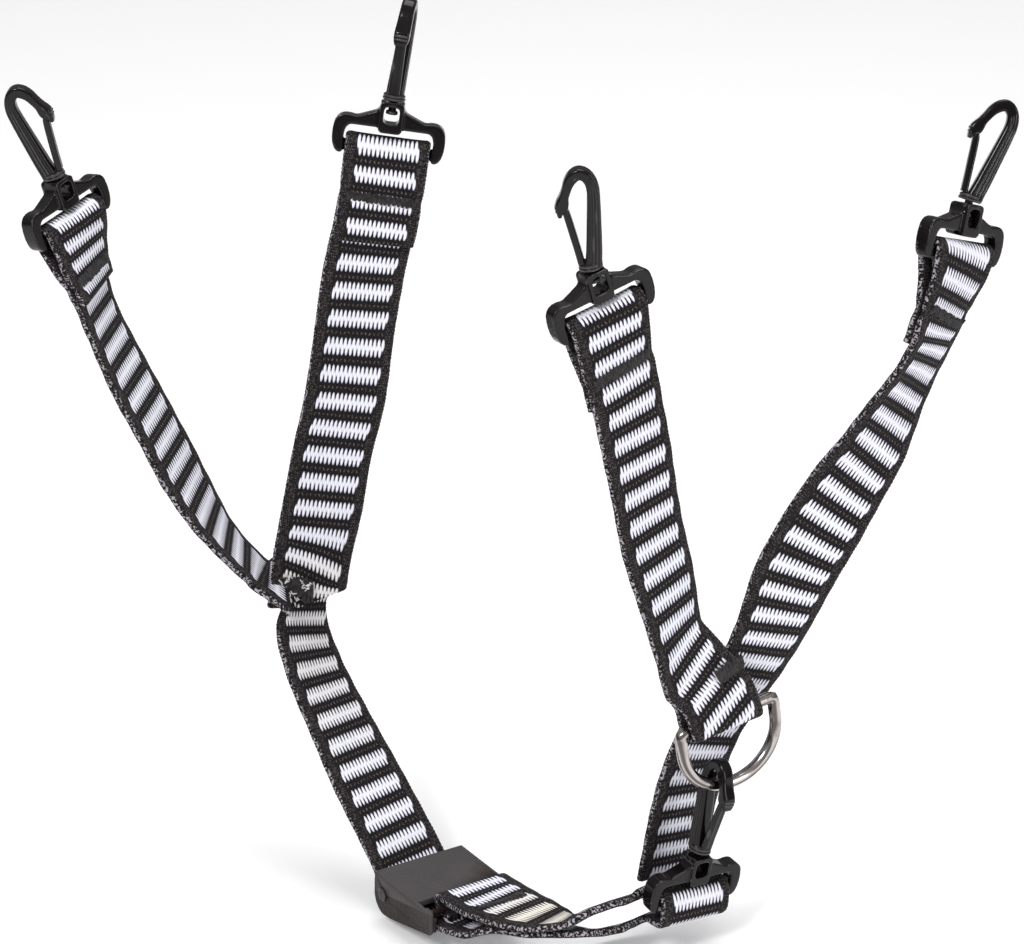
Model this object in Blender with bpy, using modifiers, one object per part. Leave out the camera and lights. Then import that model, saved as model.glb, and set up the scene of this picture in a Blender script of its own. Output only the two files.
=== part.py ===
"""Four-point helmet chin strap, hanging from its hooks as it is worn.

Webbing arms with snap hooks meet in a left and a right junction.  The chin strap runs from the
left junction through a cam buckle, round the bar of the fifth hook and back to the buckle.
The fifth hook clips on a D-ring that is sewn into the right junction.
Lengths are in millimetres here and become metres when the meshes are made.
"""
import math

import bmesh
import bpy
from mathutils import Matrix, Vector

MM = 0.001
WEB_WIDTH = 19.0
WEB_THICK = 1.4
GAP = 0.3
LAYER = 0.85            # half the spacing of two layers sewn together
BAR_RADIUS = 1.3        # crossbar of a hook frame
TURN = BAR_RADIUS + GAP + WEB_THICK / 2
SLACK = 3.4             # droop of the chin strap below the loop hook's bar
HEM = 22.0              # hem of each arm, from bar to cut end
HUB_TOP = 11.0          # hub face above the crossbar
WIRE = 1.4              # D-ring wire radius
RING_TURN = WIRE + GAP + WEB_THICK / 2
HANG = Vector((-23.4, 59.1, 194.7))   # inside of the left rear crook, which becomes the origin

# Routes: x, y, z of the webbing's centre line, plan angle of its width, and the tilt of its
# width, or None where the width stays square to the run.
LEFT_FRONT = [
    (-99.3, 52.0, 150.2, 52, None), (-97.3, 52.3, 142.3, 64, None), (-94.8, 52.6, 134.5, 75, None),
    (-92.2, 52.6, 125.7, 77, None), (-87.4, 53.0, 113.4, 73, None), (-82.0, 53.5, 101.7, 72, None),
    (-77.0, 54.0, 90.2, 71, None), (-71.6, 54.6, 79.2, 77, None), (-66.2, 55.1, 70.5, 87, None),
    (-61.4, 55.7, 64.4, 92, None), (-58.8, 56.0, 61.4, 94, None)]
LEFT_REAR = [
    (-27.9, 54.6, 166.6, 0, None), (-29.0, 53.6, 158.7, 2, None), (-30.8, 53.9, 149.0, 8, None),
    (-33.1, 54.6, 138.7, 13, None), (-35.3, 55.1, 125.7, 13, None), (-38.4, 55.1, 105.4, 12, None),
    (-41.6, 55.2, 91.7, 11, None), (-44.0, 55.2, 78.4, 11, None), (-46.6, 55.2, 65.7, 14, None),
    (-47.9, 55.2, 56.6, 18, None)]
RIGHT_FRONT = [
    (19.4, -2.6, 149.3, 31, 14), (21.3, -2.3, 141.5, 36, 15), (23.3, -2.0, 133.4, 41, 15),
    (25.0, -1.8, 124.5, 42, None), (26.7, -1.8, 115.6, 42, None), (29.7, -1.7, 98.2, 45, None),
    (32.9, -1.6, 85.8, 48, None), (34.3, -1.6, 79.6, 52, None), (36.2, -1.8, 71.5, 56, None),
    (39.9, -1.0, 64.2, 43, 24), (44.4, 0.9, 58.1, 33, 12), (46.7, 1.8, 51.2, 31.0, 7.5)]
RIGHT_REAR = [
    (95.2, 11.2, 158.1, 42, None), (93.5, 9.1, 150.6, 46, None), (90.0, 8.6, 140.0, 51, None),
    (86.6, 8.7, 132.6, 48, None), (83.3, 8.8, 125.9, 41, None), (80.7, 8.5, 120.2, 34, None),
    (77.8, 8.0, 113.8, 25, None), (74.3, 7.6, 108.0, 17, None), (68.0, 7.2, 96.2, 6, None),
    (62.2, 7.2, 84.5, 8, None), (57.9, 9.5, 71.0, 19, None), (54.3, 11.2, 62.0, 25, None),
    (49.0, 11.8, 52.0, 30, None), (43.4, 11.6, 41.0, 32, None), (39.4, 12.0, 27.0, 34, None),
    (36.2, 14.2, 5.2, 33, None)]
CHIN = [
    (-48.9, 59.6, 66.0, 15, None), (-49.5, 59.6, 59.5, 20, None), (-50.3, 58.0, 53.0, 44, None),
    (-49.5, 54.4, 47.4, 59, None), (-46.9, 49.6, 39.9, 58, None), (-44.3, 46.6, 34.7, 55, None),
    (-41.3, 43.2, 29.7, 51, None), (-38.2, 39.8, 24.4, 47, None), (-34.9, 36.2, 18.9, 42, None),
    (-31.6, 32.6, 13.6, 38, None), (-28.1, 29.0, 8.0, 35, None)]
LOWER_RUN = [
    (0.6, -6.0, -0.3, 46, -8), (6.6, -7.8, 0.2, 66, -14), (13.0, -7.0, -0.1, 84, -20),
    (18.5, -5.0, -0.4, 92, -24), (24.0, -2.4, -0.4, 84, -18), (29.4, 0.6, -0.2, 68, -12),
    (34.2, 3.2, 0.4, 48, -8)]
UPPER_RUN = [
    (34.2, 3.2, 7.8, 48, -8), (29.4, 0.6, 6.4, 68, -12), (24.0, -2.4, 5.2, 84, -18),
    (18.5, -5.2, 4.4, 92, -22), (13.0, -7.6, 4.7, 82, -18), (8.2, -8.4, 5.4, 64, -12),
    (3.0, -6.8, 5.6, 46, -5)]

LOOP_BAR = Vector((40.5, 0.5, 6.5))
LOOP_WIDTH = Vector((0.82, 0.56, -0.10)).normalized()
LOOP_AXIS = Vector((0.18, -0.02, 0.985))
LOOP_HOOK = Vector((0.235, 0.03, 0.967))
LOOP_SPINE = Vector((-0.63, 0.776, 0.0))
RING_BAR = Vector((46.7, 1.8, 51.2))
RING_ACROSS = Vector((0.85, 0.51, 0.13)).normalized()
RING_DOWN = Vector((0.13, 0.04, -0.98))
RING_SHIFT = 1.5        # the ring sits a little to one side of the webbing
BUCKLE_TOP = Vector((-31.9, 15.2, 4.0))
BUCKLE_ACROSS = Vector((0.829, 0.559, -0.03)).normalized()
BUCKLE_ALONG = Vector((0.559, -0.829, -0.01))
BUCKLE_WIDTH = 24.0
BUCKLE_LENGTH = 23.5
COVER_SIDE = 0.9        # side plates of the buckle's cover
COVER_TOP = 1.4
COVER_END = 17.0        # the cover's top plate ends where the sewn strap begins
EAR = 1.0               # side walls of the buckle's body, inside the cover
PIN_X, PIN_Z, PIN_R = 3.8, -4.2, 1.0
END_BAR_X, END_BAR_Z, END_BAR_R = 20.6, -1.6, 0.8
END_TURN = END_BAR_R + GAP + WEB_THICK / 2

COLLECTION = "helmet_chin_strap"


def clear_scene():
    for ob in list(bpy.data.objects):
        bpy.data.objects.remove(ob, do_unlink=True)


def collection(name):
    col = bpy.data.collections.new(name)
    bpy.context.scene.collection.children.link(col)
    return col


def material(name, colour, rough, metal=0.0):
    mat = bpy.data.materials.new(name)
    mat.use_nodes = True
    shader = mat.node_tree.nodes["Principled BSDF"]
    shader.inputs["Base Color"].default_value = (*colour, 1.0)
    shader.inputs["Roughness"].default_value = rough
    shader.inputs["Metallic"].default_value = metal
    return mat


def unit_width(psi, tau):
    p, t = math.radians(psi), math.radians(tau)
    return Vector((math.cos(p) * math.cos(t), math.sin(p) * math.cos(t), math.sin(t)))


def square(v, axis):
    return (v - axis * v.dot(axis)).normalized()


# ---------------------------------------------------------------- webbing routes

def smooth_route(points, spacing=4.0):
    """Stations (position, width, run length) on a curve through the route's points."""
    pos = [Vector(p[:3]) for p in points]
    n = len(pos)
    tan = []
    for i in range(n):
        a, b = pos[max(i - 1, 0)], pos[min(i + 1, n - 1)]
        tan.append((b - a).normalized())
    wid = []
    for i, p in enumerate(points):
        w = unit_width(p[3], 0.0 if p[4] is None else p[4])
        wid.append(square(w, tan[i]) if p[4] is None else w)
    out, run = [], 0.0
    for i in range(n - 1):
        chord = (pos[i + 1] - pos[i]).length
        steps = max(1, round(chord / spacing))
        for k in range(steps):
            u = k / steps
            h = (2 * u**3 - 3 * u**2 + 1, u**3 - 2 * u**2 + u, -2 * u**3 + 3 * u**2, u**3 - u**2)
            c = pos[i] * h[0] + tan[i] * (h[1] * chord) + pos[i + 1] * h[2] + tan[i + 1] * (h[3] * chord)
            w = wid[i].lerp(wid[i + 1], u).normalized()
            out.append([c, w, 0.0])
    out.append([pos[-1], wid[-1], 0.0])
    for i in range(1, len(out)):
        run += (out[i][0] - out[i - 1][0]).length
        out[i][2] = run
    return out


def face_normals(stations):
    """Unit vectors square to the webbing, on the side that faces the front (-Y)."""
    out = []
    for i, (c, w, _) in enumerate(stations):
        a, b = stations[max(i - 1, 0)][0], stations[min(i + 1, len(stations) - 1)][0]
        out.append((b - a).normalized().cross(w).normalized())
    return out


def spread(s, turn, length=12.0):
    """Half the distance between the layers, s past the centre of the bar they go round."""
    u = min(max(s / length, 0.0), 1.0)
    return turn + (LAYER - turn) * u * u * (3 - 2 * u)


def turn_points(centre, start, over, radius, width, steps=8):
    """Half circle round a bar, from centre+start over centre+over to centre-start."""
    out = []
    for k in range(1, steps):
        a = math.pi * k / steps
        out.append((centre + start * (radius * math.cos(a)) + over * (radius * math.sin(a)), width))
    return out


def arm_path(points, hem_side, ring_end=False):
    """Hem, turn over the frame bar and run of one arm.  hem_side is +1 for a hem in front."""
    mid = smooth_route(points)
    nor = face_normals(mid)
    hem = [(c + n * hem_side * spread(s, TURN), w) for (c, w, s), n in zip(mid, nor) if s <= HEM]
    hem.reverse()
    up = -(mid[1][0] - mid[0][0]).normalized()
    turn = turn_points(mid[0][0], nor[0] * hem_side, up, TURN, mid[0][1])
    total = mid[-1][2]
    run = []
    for (c, w, s), n in zip(mid, nor):
        half = spread(s, TURN)
        if ring_end:
            half = max(half, spread(total - s, RING_TURN))
        run.append((c - n * hem_side * half, w))
    path = hem + turn + run
    if ring_end:
        n = nor[-1]
        down = (mid[-1][0] - mid[-2][0]).normalized()
        path += turn_points(mid[-1][0], -n * hem_side, down, RING_TURN, mid[-1][1])
        for c, w, s in reversed(mid):
            if total - s > 9.5:
                break
            path.append((c + n * hem_side * spread(total - s, RING_TURN), w))
    return path


def loop_path():
    """The chin strap down through the buckle, round the loop bar and back to the buckle."""
    def in_buckle(x, z):
        p = BUCKLE_TOP + BUCKLE_ACROSS * (BUCKLE_WIDTH / 2) + BUCKLE_ALONG * x
        return p.x, p.y, p.z + z, 34, None
    first = CHIN + [in_buckle(-3.4, -3.0), in_buckle(-0.8, -6.2), in_buckle(3.8, -7.35),
                    in_buckle(9.0, -6.45), in_buckle(14.5, -5.4), in_buckle(19.0, -5.1),
                    in_buckle(23.5, -5.2), in_buckle(28.5, -5.2)] + LOWER_RUN
    path = [(c, w) for c, w, _ in smooth_route(first)]
    out = Vector((0.56, -0.82, 0.0))
    out = square(out, LOOP_WIDTH)
    up = LOOP_WIDTH.cross(out)
    if up.z < 0:
        up = -up
    behind = -out * 3.6
    low = LOOP_BAR - up * SLACK
    path.append((low + behind - up * TURN, LOOP_WIDTH))
    path.append((low - up * TURN, LOOP_WIDTH))
    path += turn_points(low, -up, out, TURN, LOOP_WIDTH)[:4]
    path += turn_points(LOOP_BAR, -up, out, TURN, LOOP_WIDTH)[3:]
    path.append((LOOP_BAR + up * TURN, LOOP_WIDTH))
    path.append((LOOP_BAR + behind + up * TURN, LOOP_WIDTH))
    bar = end_bar_centre()
    top = Vector((0, 0, 1))
    last = UPPER_RUN + [tuple(bar + BUCKLE_ALONG * 7.4 + top * (END_TURN + 0.6)) + (36, None),
                        tuple(bar + BUCKLE_ALONG * 3.2 + top * END_TURN) + (34, None)]
    path += [(c, w) for c, w, _ in smooth_route(last)]
    path.append((bar + top * END_TURN, BUCKLE_ACROSS))
    path += turn_points(bar, top, -BUCKLE_ALONG, END_TURN, BUCKLE_ACROSS)
    path.append((bar - top * END_TURN, BUCKLE_ACROSS))
    path.append((bar - top * END_TURN + BUCKLE_ALONG * 4.0, BUCKLE_ACROSS))
    return path


# ---------------------------------------------------------------- meshes

def finish_mesh(bm, name, col, mat, matrix=None, smooth=None):
    bmesh.ops.recalc_face_normals(bm, faces=bm.faces)
    me = bpy.data.meshes.new(name)
    bm.to_mesh(me)
    bm.free()
    me.materials.append(mat)
    ob = bpy.data.objects.new(name, me)
    if matrix is not None:
        ob.matrix_world = matrix
    col.objects.link(ob)
    if smooth:
        me.shade_smooth()
        me.set_sharp_from_angle(angle=math.radians(smooth))
    return ob


def to_world(p):
    return (Vector(p) - HANG) * MM


def ribbon(name, path, col, mat, origin=None):
    """Webbing as a rectangular section swept along (centre, width) stations."""
    origin = Vector((0, 0, 0)) if origin is None else to_world(origin)
    bm = bmesh.new()
    rows = []
    for i, (c, w) in enumerate(path):
        a, b = path[max(i - 1, 0)][0], path[min(i + 1, len(path) - 1)][0]
        n = (b - a).normalized().cross(w).normalized()
        dw, dn = w * (WEB_WIDTH / 2), n * (WEB_THICK / 2)
        row = [bm.verts.new(to_world(c + q) - origin) for q in (-dw - dn, dw - dn, dw + dn, -dw + dn)]
        rows.append(row)
    for lo, hi in zip(rows, rows[1:]):
        for k in range(4):
            m = (k + 1) % 4
            bm.faces.new((lo[k], lo[m], hi[m], hi[k]))
    bm.faces.new(rows[0])
    bm.faces.new(list(reversed(rows[-1])))
    bmesh.ops.triangulate(bm, faces=bm.faces)
    return finish_mesh(bm, name, col, mat, Matrix.Translation(origin))


def basis(origin, x, y, z):
    m = Matrix((x, y, z)).transposed().to_4x4()
    m.translation = to_world(origin)
    return m


def plate_mesh(name, outline, thick, holes=()):
    """Closed mesh of a flat outline, centred on its own plane."""
    cu = bpy.data.curves.new(name, "CURVE")
    cu.dimensions = "2D"
    cu.fill_mode = "BOTH"
    cu.extrude = thick / 2 * MM
    for pts in [outline, *holes]:
        sp = cu.splines.new("POLY")
        sp.points.add(len(pts) - 1)
        for q, (x, y) in zip(sp.points, pts):
            q.co = (x * MM, y * MM, 0, 1)
        sp.use_cyclic_u = True
    ob = bpy.data.objects.new(name, cu)
    bpy.context.scene.collection.objects.link(ob)
    dg = bpy.context.evaluated_depsgraph_get()
    me = bpy.data.meshes.new_from_object(ob.evaluated_get(dg))
    bpy.data.objects.remove(ob)
    bm = bmesh.new()
    bm.from_mesh(me)
    bmesh.ops.remove_doubles(bm, verts=bm.verts, dist=1e-6)
    bmesh.ops.recalc_face_normals(bm, faces=bm.faces)
    bm.to_mesh(me)
    bm.free()
    return me


def cylinder_mesh(name, radius, length, axis, centre, segs=16):
    bm = bmesh.new()
    rot = Vector((0, 0, 1)).rotation_difference(Vector(axis)).to_matrix().to_4x4()
    rot.translation = Vector(centre) * MM
    bmesh.ops.create_cone(bm, cap_ends=True, segments=segs, radius1=radius * MM,
                          radius2=radius * MM, depth=length * MM, matrix=rot)
    me = bpy.data.meshes.new(name)
    bm.to_mesh(me)
    bm.free()
    return me


def box_mesh(name, size, centre):
    bm = bmesh.new()
    m = Matrix.Translation(Vector(centre) * MM) @ Matrix.Diagonal((*[s * MM for s in size], 1))
    bmesh.ops.create_cube(bm, size=1.0, matrix=m)
    me = bpy.data.meshes.new(name)
    bm.to_mesh(me)
    bm.free()
    return me


def combine(name, base, steps, cutters, bevel=0.0):
    """Apply booleans to a mesh: steps are ('UNION' or 'DIFFERENCE', mesh)."""
    ob = bpy.data.objects.new(name, base)
    cutters.objects.link(ob)
    for kind, me in steps:
        cut = bpy.data.objects.new(name + "_tool", me)
        cut.hide_render = True
        cut.display_type = "WIRE"
        cutters.objects.link(cut)
        mod = ob.modifiers.new(kind, "BOOLEAN")
        mod.operation = kind
        mod.solver = "EXACT"
        mod.object = cut
    if bevel:
        mod = ob.modifiers.new("edge", "BEVEL")
        mod.width = bevel * MM
        mod.segments = 1
        mod.limit_method = "ANGLE"
        mod.angle_limit = math.radians(50)
    bpy.context.view_layer.update()
    dg = bpy.context.evaluated_depsgraph_get()
    me = bpy.data.meshes.new_from_object(ob.evaluated_get(dg))
    me.name = name
    for tool in [ob] + [m.object for m in ob.modifiers if m.type == "BOOLEAN"]:
        bpy.data.objects.remove(tool)
    return me


def place(name, mesh, matrix, col, mat):
    me = mesh.copy()
    me.name = name
    me.materials.clear()
    me.materials.append(mat)
    ob = bpy.data.objects.new(name, me)
    ob.matrix_world = matrix
    col.objects.link(ob)
    return ob


# ---------------------------------------------------------------- hook parts

def frame_outline():
    """Arch of the hook frame: hub, shoulders and lobes, open where the crossbar goes."""
    half = [(3.0, 11.0), (3.0, 8.1), (8.6, 6.0), (9.7, 6.6), (11.2, 6.4), (12.1, 5.3), (12.4, 3.6),
            (12.4, 0.9), (12.0, -0.7), (11.2, -1.7), (10.0, -1.7), (9.9, 4.3)]
    return half + [(-x, y) for x, y in reversed(half)]


def frame_mesh(cutters):
    base = plate_mesh("frame", frame_outline(), 3.6)
    hub = box_mesh("hub", (5.6, 5.6, 5.0), (0, HUB_TOP - 2.8, 0))
    window = box_mesh("window", (3.4, 3.9, 8.0), (0, 7.95, 0))
    bar = cylinder_mesh("bar", BAR_RADIUS, 2 * 10.6, (1, 0, 0), (0, 0, 0))
    hole = cylinder_mesh("hole", 1.25, 4.0, (0, 1, 0), (0, 10.6, 0), 12)
    return combine("frame", base, [("UNION", hub), ("UNION", bar), ("DIFFERENCE", window),
                                   ("DIFFERENCE", hole)], cutters)


def hook_outline():
    """Spine, crook and nose of the hook, above the hub."""
    return [(-2.5, GAP), (2.7, GAP), (3.1, 4.0), (3.9, 10.0), (4.7, 16.0), (4.9, 18.6), (4.4, 20.9),
            (3.2, 22.5), (1.4, 23.2), (-0.5, 22.9), (-1.9, 21.5), (-2.8, 19.4), (-3.8, 17.4),
            (-4.8, 15.6), (-4.9, 13.6), (-4.1, 12.2), (-3.1, 12.5), (-2.8, 14.4), (-1.9, 16.5),
            (-1.0, 18.6), (0.0, 20.0), (1.2, 20.4), (2.1, 19.6), (2.3, 18.0), (2.1, 14.5), (1.5, 9.0),
            (0.9, 3.4), (0.3, 1.9), (-2.5, 1.6)]


def hook_mesh(cutters):
    base = plate_mesh("hook", hook_outline(), 3.6)
    collar = cylinder_mesh("collar", 2.6, 1.3, (0, 1, 0), (0, GAP + 0.65, 0))
    pin = cylinder_mesh("pin", 0.9, 2.9, (0, 1, 0), (0, -0.95, 0), 12)
    head = cylinder_mesh("head", 1.35, 0.9, (0, 1, 0), (0, -2.6, 0), 12)
    return combine("hook", base, [("UNION", collar), ("UNION", pin), ("UNION", head)], cutters)


def gate_mesh():
    """Springy leaf that closes the mouth; its origin is at the root where it flexes."""
    root = (-2.0, 2.4)
    pts = [(-2.9, 2.0), (-1.2, 2.0), (-0.8, 8.0), (-0.6, 14.6), (-1.3, 15.3), (-2.2, 14.7), (-2.4, 12.6),
           (-2.9, 8.0)]
    return plate_mesh("gate", [(x - root[0], y - root[1]) for x, y in pts], 2.6), root


# ---------------------------------------------------------------- buckle parts

def buckle_point(x, y, z):
    up = Vector((0, 0, 1))
    return BUCKLE_TOP + BUCKLE_ALONG * x + BUCKLE_ACROSS * y + up * z


def end_bar_centre():
    return buckle_point(END_BAR_X, BUCKLE_WIDTH / 2, END_BAR_Z)


def buckle_matrix(x=0.0, y=0.0, z=0.0):
    """Local x along the buckle, y up, z across it."""
    across = square(BUCKLE_ACROSS, BUCKLE_ALONG)
    up = across.cross(BUCKLE_ALONG)
    if up.z < 0:
        up = -up
    return basis(buckle_point(x, y, z), BUCKLE_ALONG, up, BUCKLE_ALONG.cross(up))


def side_outline(top, inset):
    """Side profile of the buckle, thick and round at the pin and thin at the other end."""
    end = BUCKLE_LENGTH - inset
    radius = 4.6 - inset
    pts = [(inset, top), (end, top), (end, -5.3 + inset), (7.0, -9.2 + inset)]
    for k in range(6):
        a = math.radians(-100 - 16 * k)
        pts.append((4.6 + radius * math.cos(a), -5.0 + radius * math.sin(a)))
    return pts


def buckle_parts(col, cutters, mat_body, mat_lever, mat_pin):
    mid = BUCKLE_WIDTH / 2
    m = buckle_matrix(0.0, mid, 0.0)
    under = BUCKLE_WIDTH - 2 * COVER_SIDE
    body_width = under - 2 * GAP
    inner = body_width - 2 * EAR
    ears = side_outline(-COVER_TOP - GAP, 0.2)
    ears[:1] = [(0.2, -3.5), (2.9, -COVER_TOP - GAP)]      # cut back where the open cover comes down
    block = plate_mesh("body", ears, body_width)
    channel = plate_mesh("channel", [(-2, 2), (26, 2), (26, -4.15), (14.8, -6.55), (3.0, -8.5), (-2, -9.9)],
                         inner)
    outlet = plate_mesh("outlet", [(14.8, -3.0), (26, -3.0), (26, -12.0), (14.8, -12.0)], inner)
    bar = cylinder_mesh("end_bar", END_BAR_R, inner + 1.0, (0, 0, 1), (END_BAR_X, END_BAR_Z, 0), 12)
    posts = box_mesh("posts", (2.2, 2.4, body_width), (END_BAR_X, END_BAR_Z - 0.2, 0))
    hole = cylinder_mesh("pin_hole", PIN_R + GAP, BUCKLE_WIDTH + 4, (0, 0, 1), (PIN_X, PIN_Z, 0), 16)
    body = combine("buckle_body", block, [("UNION", posts), ("DIFFERENCE", channel), ("DIFFERENCE", outlet),
                                          ("UNION", bar), ("DIFFERENCE", hole)], cutters)
    place("buckle_body", body, m, col, mat_body)

    lever_m = buckle_matrix(PIN_X, mid, PIN_Z)
    cover = plate_mesh("cover", [(x - PIN_X, y - PIN_Z) for x, y in side_outline(0.0, 0.0)], BUCKLE_WIDTH)
    floor = -PIN_Z - COVER_TOP
    inside = box_mesh("inside", (60, 20, under), (0, floor - 10, 0))
    mouth = box_mesh("mouth", (20, 30, under), (COVER_END - PIN_X + 10, 0, 0))
    r = 2.0
    pts = [(3.4, floor + 0.5), (2.4, floor - 0.4)]
    for k in range(9):
        a = math.radians(40 - 28 * k)
        pts.append((r * math.cos(a), r * math.sin(a)))
    pts += [(-2.2, floor - 0.4), (-2.6, floor + 0.5)]
    cam = plate_mesh("cam", pts, inner - 2 * GAP)
    hole = cylinder_mesh("lever_hole", PIN_R + GAP, BUCKLE_WIDTH + 4, (0, 0, 1), (0, 0, 0), 16)
    lever = combine("cam_lever", cover, [("DIFFERENCE", inside), ("DIFFERENCE", mouth), ("UNION", cam),
                                         ("DIFFERENCE", hole)], cutters)
    place("cam_lever", lever, lever_m, col, mat_lever)

    pin = cylinder_mesh("pivot", PIN_R, BUCKLE_WIDTH + 2 * GAP + 0.2, (0, 0, 1), (0, 0, 0), 16)
    heads = []
    for side in (-1, 1):
        z = side * (BUCKLE_WIDTH / 2 + GAP + 0.2)
        heads.append(("UNION", cylinder_mesh("pin_head", 1.6, 0.4, (0, 0, 1), (0, 0, z), 20)))
    place("pivot_pin", combine("pivot_pin", pin, heads, cutters), lever_m, col, mat_pin)


# ---------------------------------------------------------------- D-ring and stitching

def ring_points():
    half, depth = 12.5, 17.0
    pts = [(-half + 1.2, 0.0), (half - 1.2, 0.0), (half, 1.0)]
    steps = 14
    for k in range(steps + 1):
        a = math.pi * k / steps
        pts.append((half * math.cos(a), 5.4 + (depth - 5.4) * math.sin(a)))
    pts.append((-half, 1.0))
    return pts


def d_ring(col, mat):
    cu = bpy.data.curves.new("d_ring_path", "CURVE")
    cu.dimensions = "3D"
    cu.bevel_depth = WIRE * MM
    cu.bevel_resolution = 2
    cu.resolution_u = 1
    sp = cu.splines.new("POLY")
    pts = ring_points()
    sp.points.add(len(pts) - 1)
    for q, (x, y) in zip(sp.points, pts):
        q.co = (x * MM, y * MM, 0, 1)
    sp.use_cyclic_u = True
    ob = bpy.data.objects.new("d_ring", cu)
    down = square(RING_DOWN, RING_ACROSS)
    centre = RING_BAR + RING_ACROSS * RING_SHIFT
    ob.matrix_world = basis(centre, RING_ACROSS, down, RING_ACROSS.cross(down))
    cu.materials.append(mat)
    col.objects.link(ob)
    return ob


def stitch(name, centre, across, along, col, mat, length=11.0, width=1.6, thick=0.4):
    x = across.normalized()
    y = square(along, x)
    me = box_mesh(name, (length, width, thick), (0, 0, 0))
    place(name, me, basis(centre, x, y, x.cross(y)), col, mat)


def at_run(points, s):
    mid = smooth_route(points, 2.0)
    nor = face_normals(mid)
    best = min(range(len(mid)), key=lambda i: abs(mid[i][2] - s))
    c, w, _ = mid[best]
    return c, w, nor[best].cross(w), nor[best]


def build():
    clear_scene()
    col = collection(COLLECTION)
    cutters = collection("cutters")
    web = material("webbing", (0.05, 0.05, 0.055), 0.85)
    black = material("black_acetal", (0.012, 0.012, 0.013), 0.3)
    grey = material("buckle_plastic", (0.05, 0.05, 0.055), 0.45)
    chrome = material("chrome_wire", (0.75, 0.74, 0.72), 0.15, 1.0)
    thread = material("sewing_thread", (0.55, 0.5, 0.42), 0.8)

    ribbon("left_front_strap", arm_path(LEFT_FRONT, +1), col, web)
    ribbon("left_rear_strap", arm_path(LEFT_REAR, +1), col, web)
    ribbon("chin_strap", loop_path(), col, web)
    ribbon("right_front_strap", arm_path(RIGHT_FRONT, -1, ring_end=True), col, web, RING_BAR)
    ribbon("right_rear_strap", arm_path(RIGHT_REAR, -1), col, web, RING_BAR)

    frame, hook = frame_mesh(cutters), hook_mesh(cutters)
    gate, root = gate_mesh()
    sites = []
    for label, route, spine, lean in (("left_front", LEFT_FRONT, Vector((-1, 0, 0)), -0.06),
                                      ("left_rear", LEFT_REAR, Vector((0.15, 1, 0)), 0.03),
                                      ("right_front", RIGHT_FRONT, Vector((1, 0, 0)), 0.07),
                                      ("right_rear", RIGHT_REAR, Vector((1, 0, 0)), 0.12)):
        mid = smooth_route(route)
        bar, width = mid[0][:2]
        axis = square(mid[0][0] - mid[1][0], width)
        sites.append((label, bar, width, axis, (axis + Vector((lean, 0, 0))).normalized(), spine))
    loop_axis = square(LOOP_AXIS, LOOP_WIDTH)
    sites.append(("loop", LOOP_BAR, LOOP_WIDTH, loop_axis, LOOP_HOOK.normalized(), LOOP_SPINE))
    for label, bar, width, axis, lean, spine in sites:
        place("frame_" + label, frame, basis(bar, width, axis, width.cross(axis)), col, black)
        lift = 0.8 + 2.0 * lean.angle(axis) + (0.45 if label == "loop" else 0.0)
        hub = bar + axis * (HUB_TOP - 0.8) + lean * lift
        side = square(spine, lean)
        place("hook_" + label, hook, basis(hub, side, lean, side.cross(lean)), col, black)
        place("gate_" + label, gate, basis(hub + side * root[0] + lean * root[1], side, lean,
                                           side.cross(lean)), col, black)

    buckle_parts(col, cutters, grey, grey, black)
    d_ring(col, chrome)

    for label, route, proud in (("left_front", LEFT_FRONT, LAYER), ("left_rear", LEFT_REAR, LAYER),
                                ("right_front", RIGHT_FRONT, LAYER), ("right_rear", RIGHT_REAR, LAYER)):
        c, w, t, n = at_run(route, 14.0)
        stitch("stitch_" + label, c + n * (proud + WEB_THICK / 2 + GAP + 0.35), w, t, col, thread)
    c, w, t, n = at_run(LEFT_REAR, 108.0)
    stitch("stitch_left_junction", c + n * (WEB_THICK / 2 - LAYER + GAP + 0.35), w, t, col, thread, 12.0, 2.4)
    c, w, t, n = at_run(RIGHT_FRONT, 94.5)
    stitch("stitch_right_junction", c + n * (spread(7.0, RING_TURN) + 1.6), w, t, col, thread)
    c = end_bar_centre() + BUCKLE_ALONG * 6.4 + Vector((0, 0, END_TURN + 1.75))
    stitch("stitch_adjuster", c, BUCKLE_ACROSS, BUCKLE_ALONG, col, thread)


build()
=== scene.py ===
"""Helmet chin strap: woven webbing, snap hooks, cam buckle and D-ring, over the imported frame.

Lengths are in millimetres in the strap's own layout and become metres in to_world.
"""
import math

import bmesh
import bpy
from mathutils import Matrix, Vector


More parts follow.
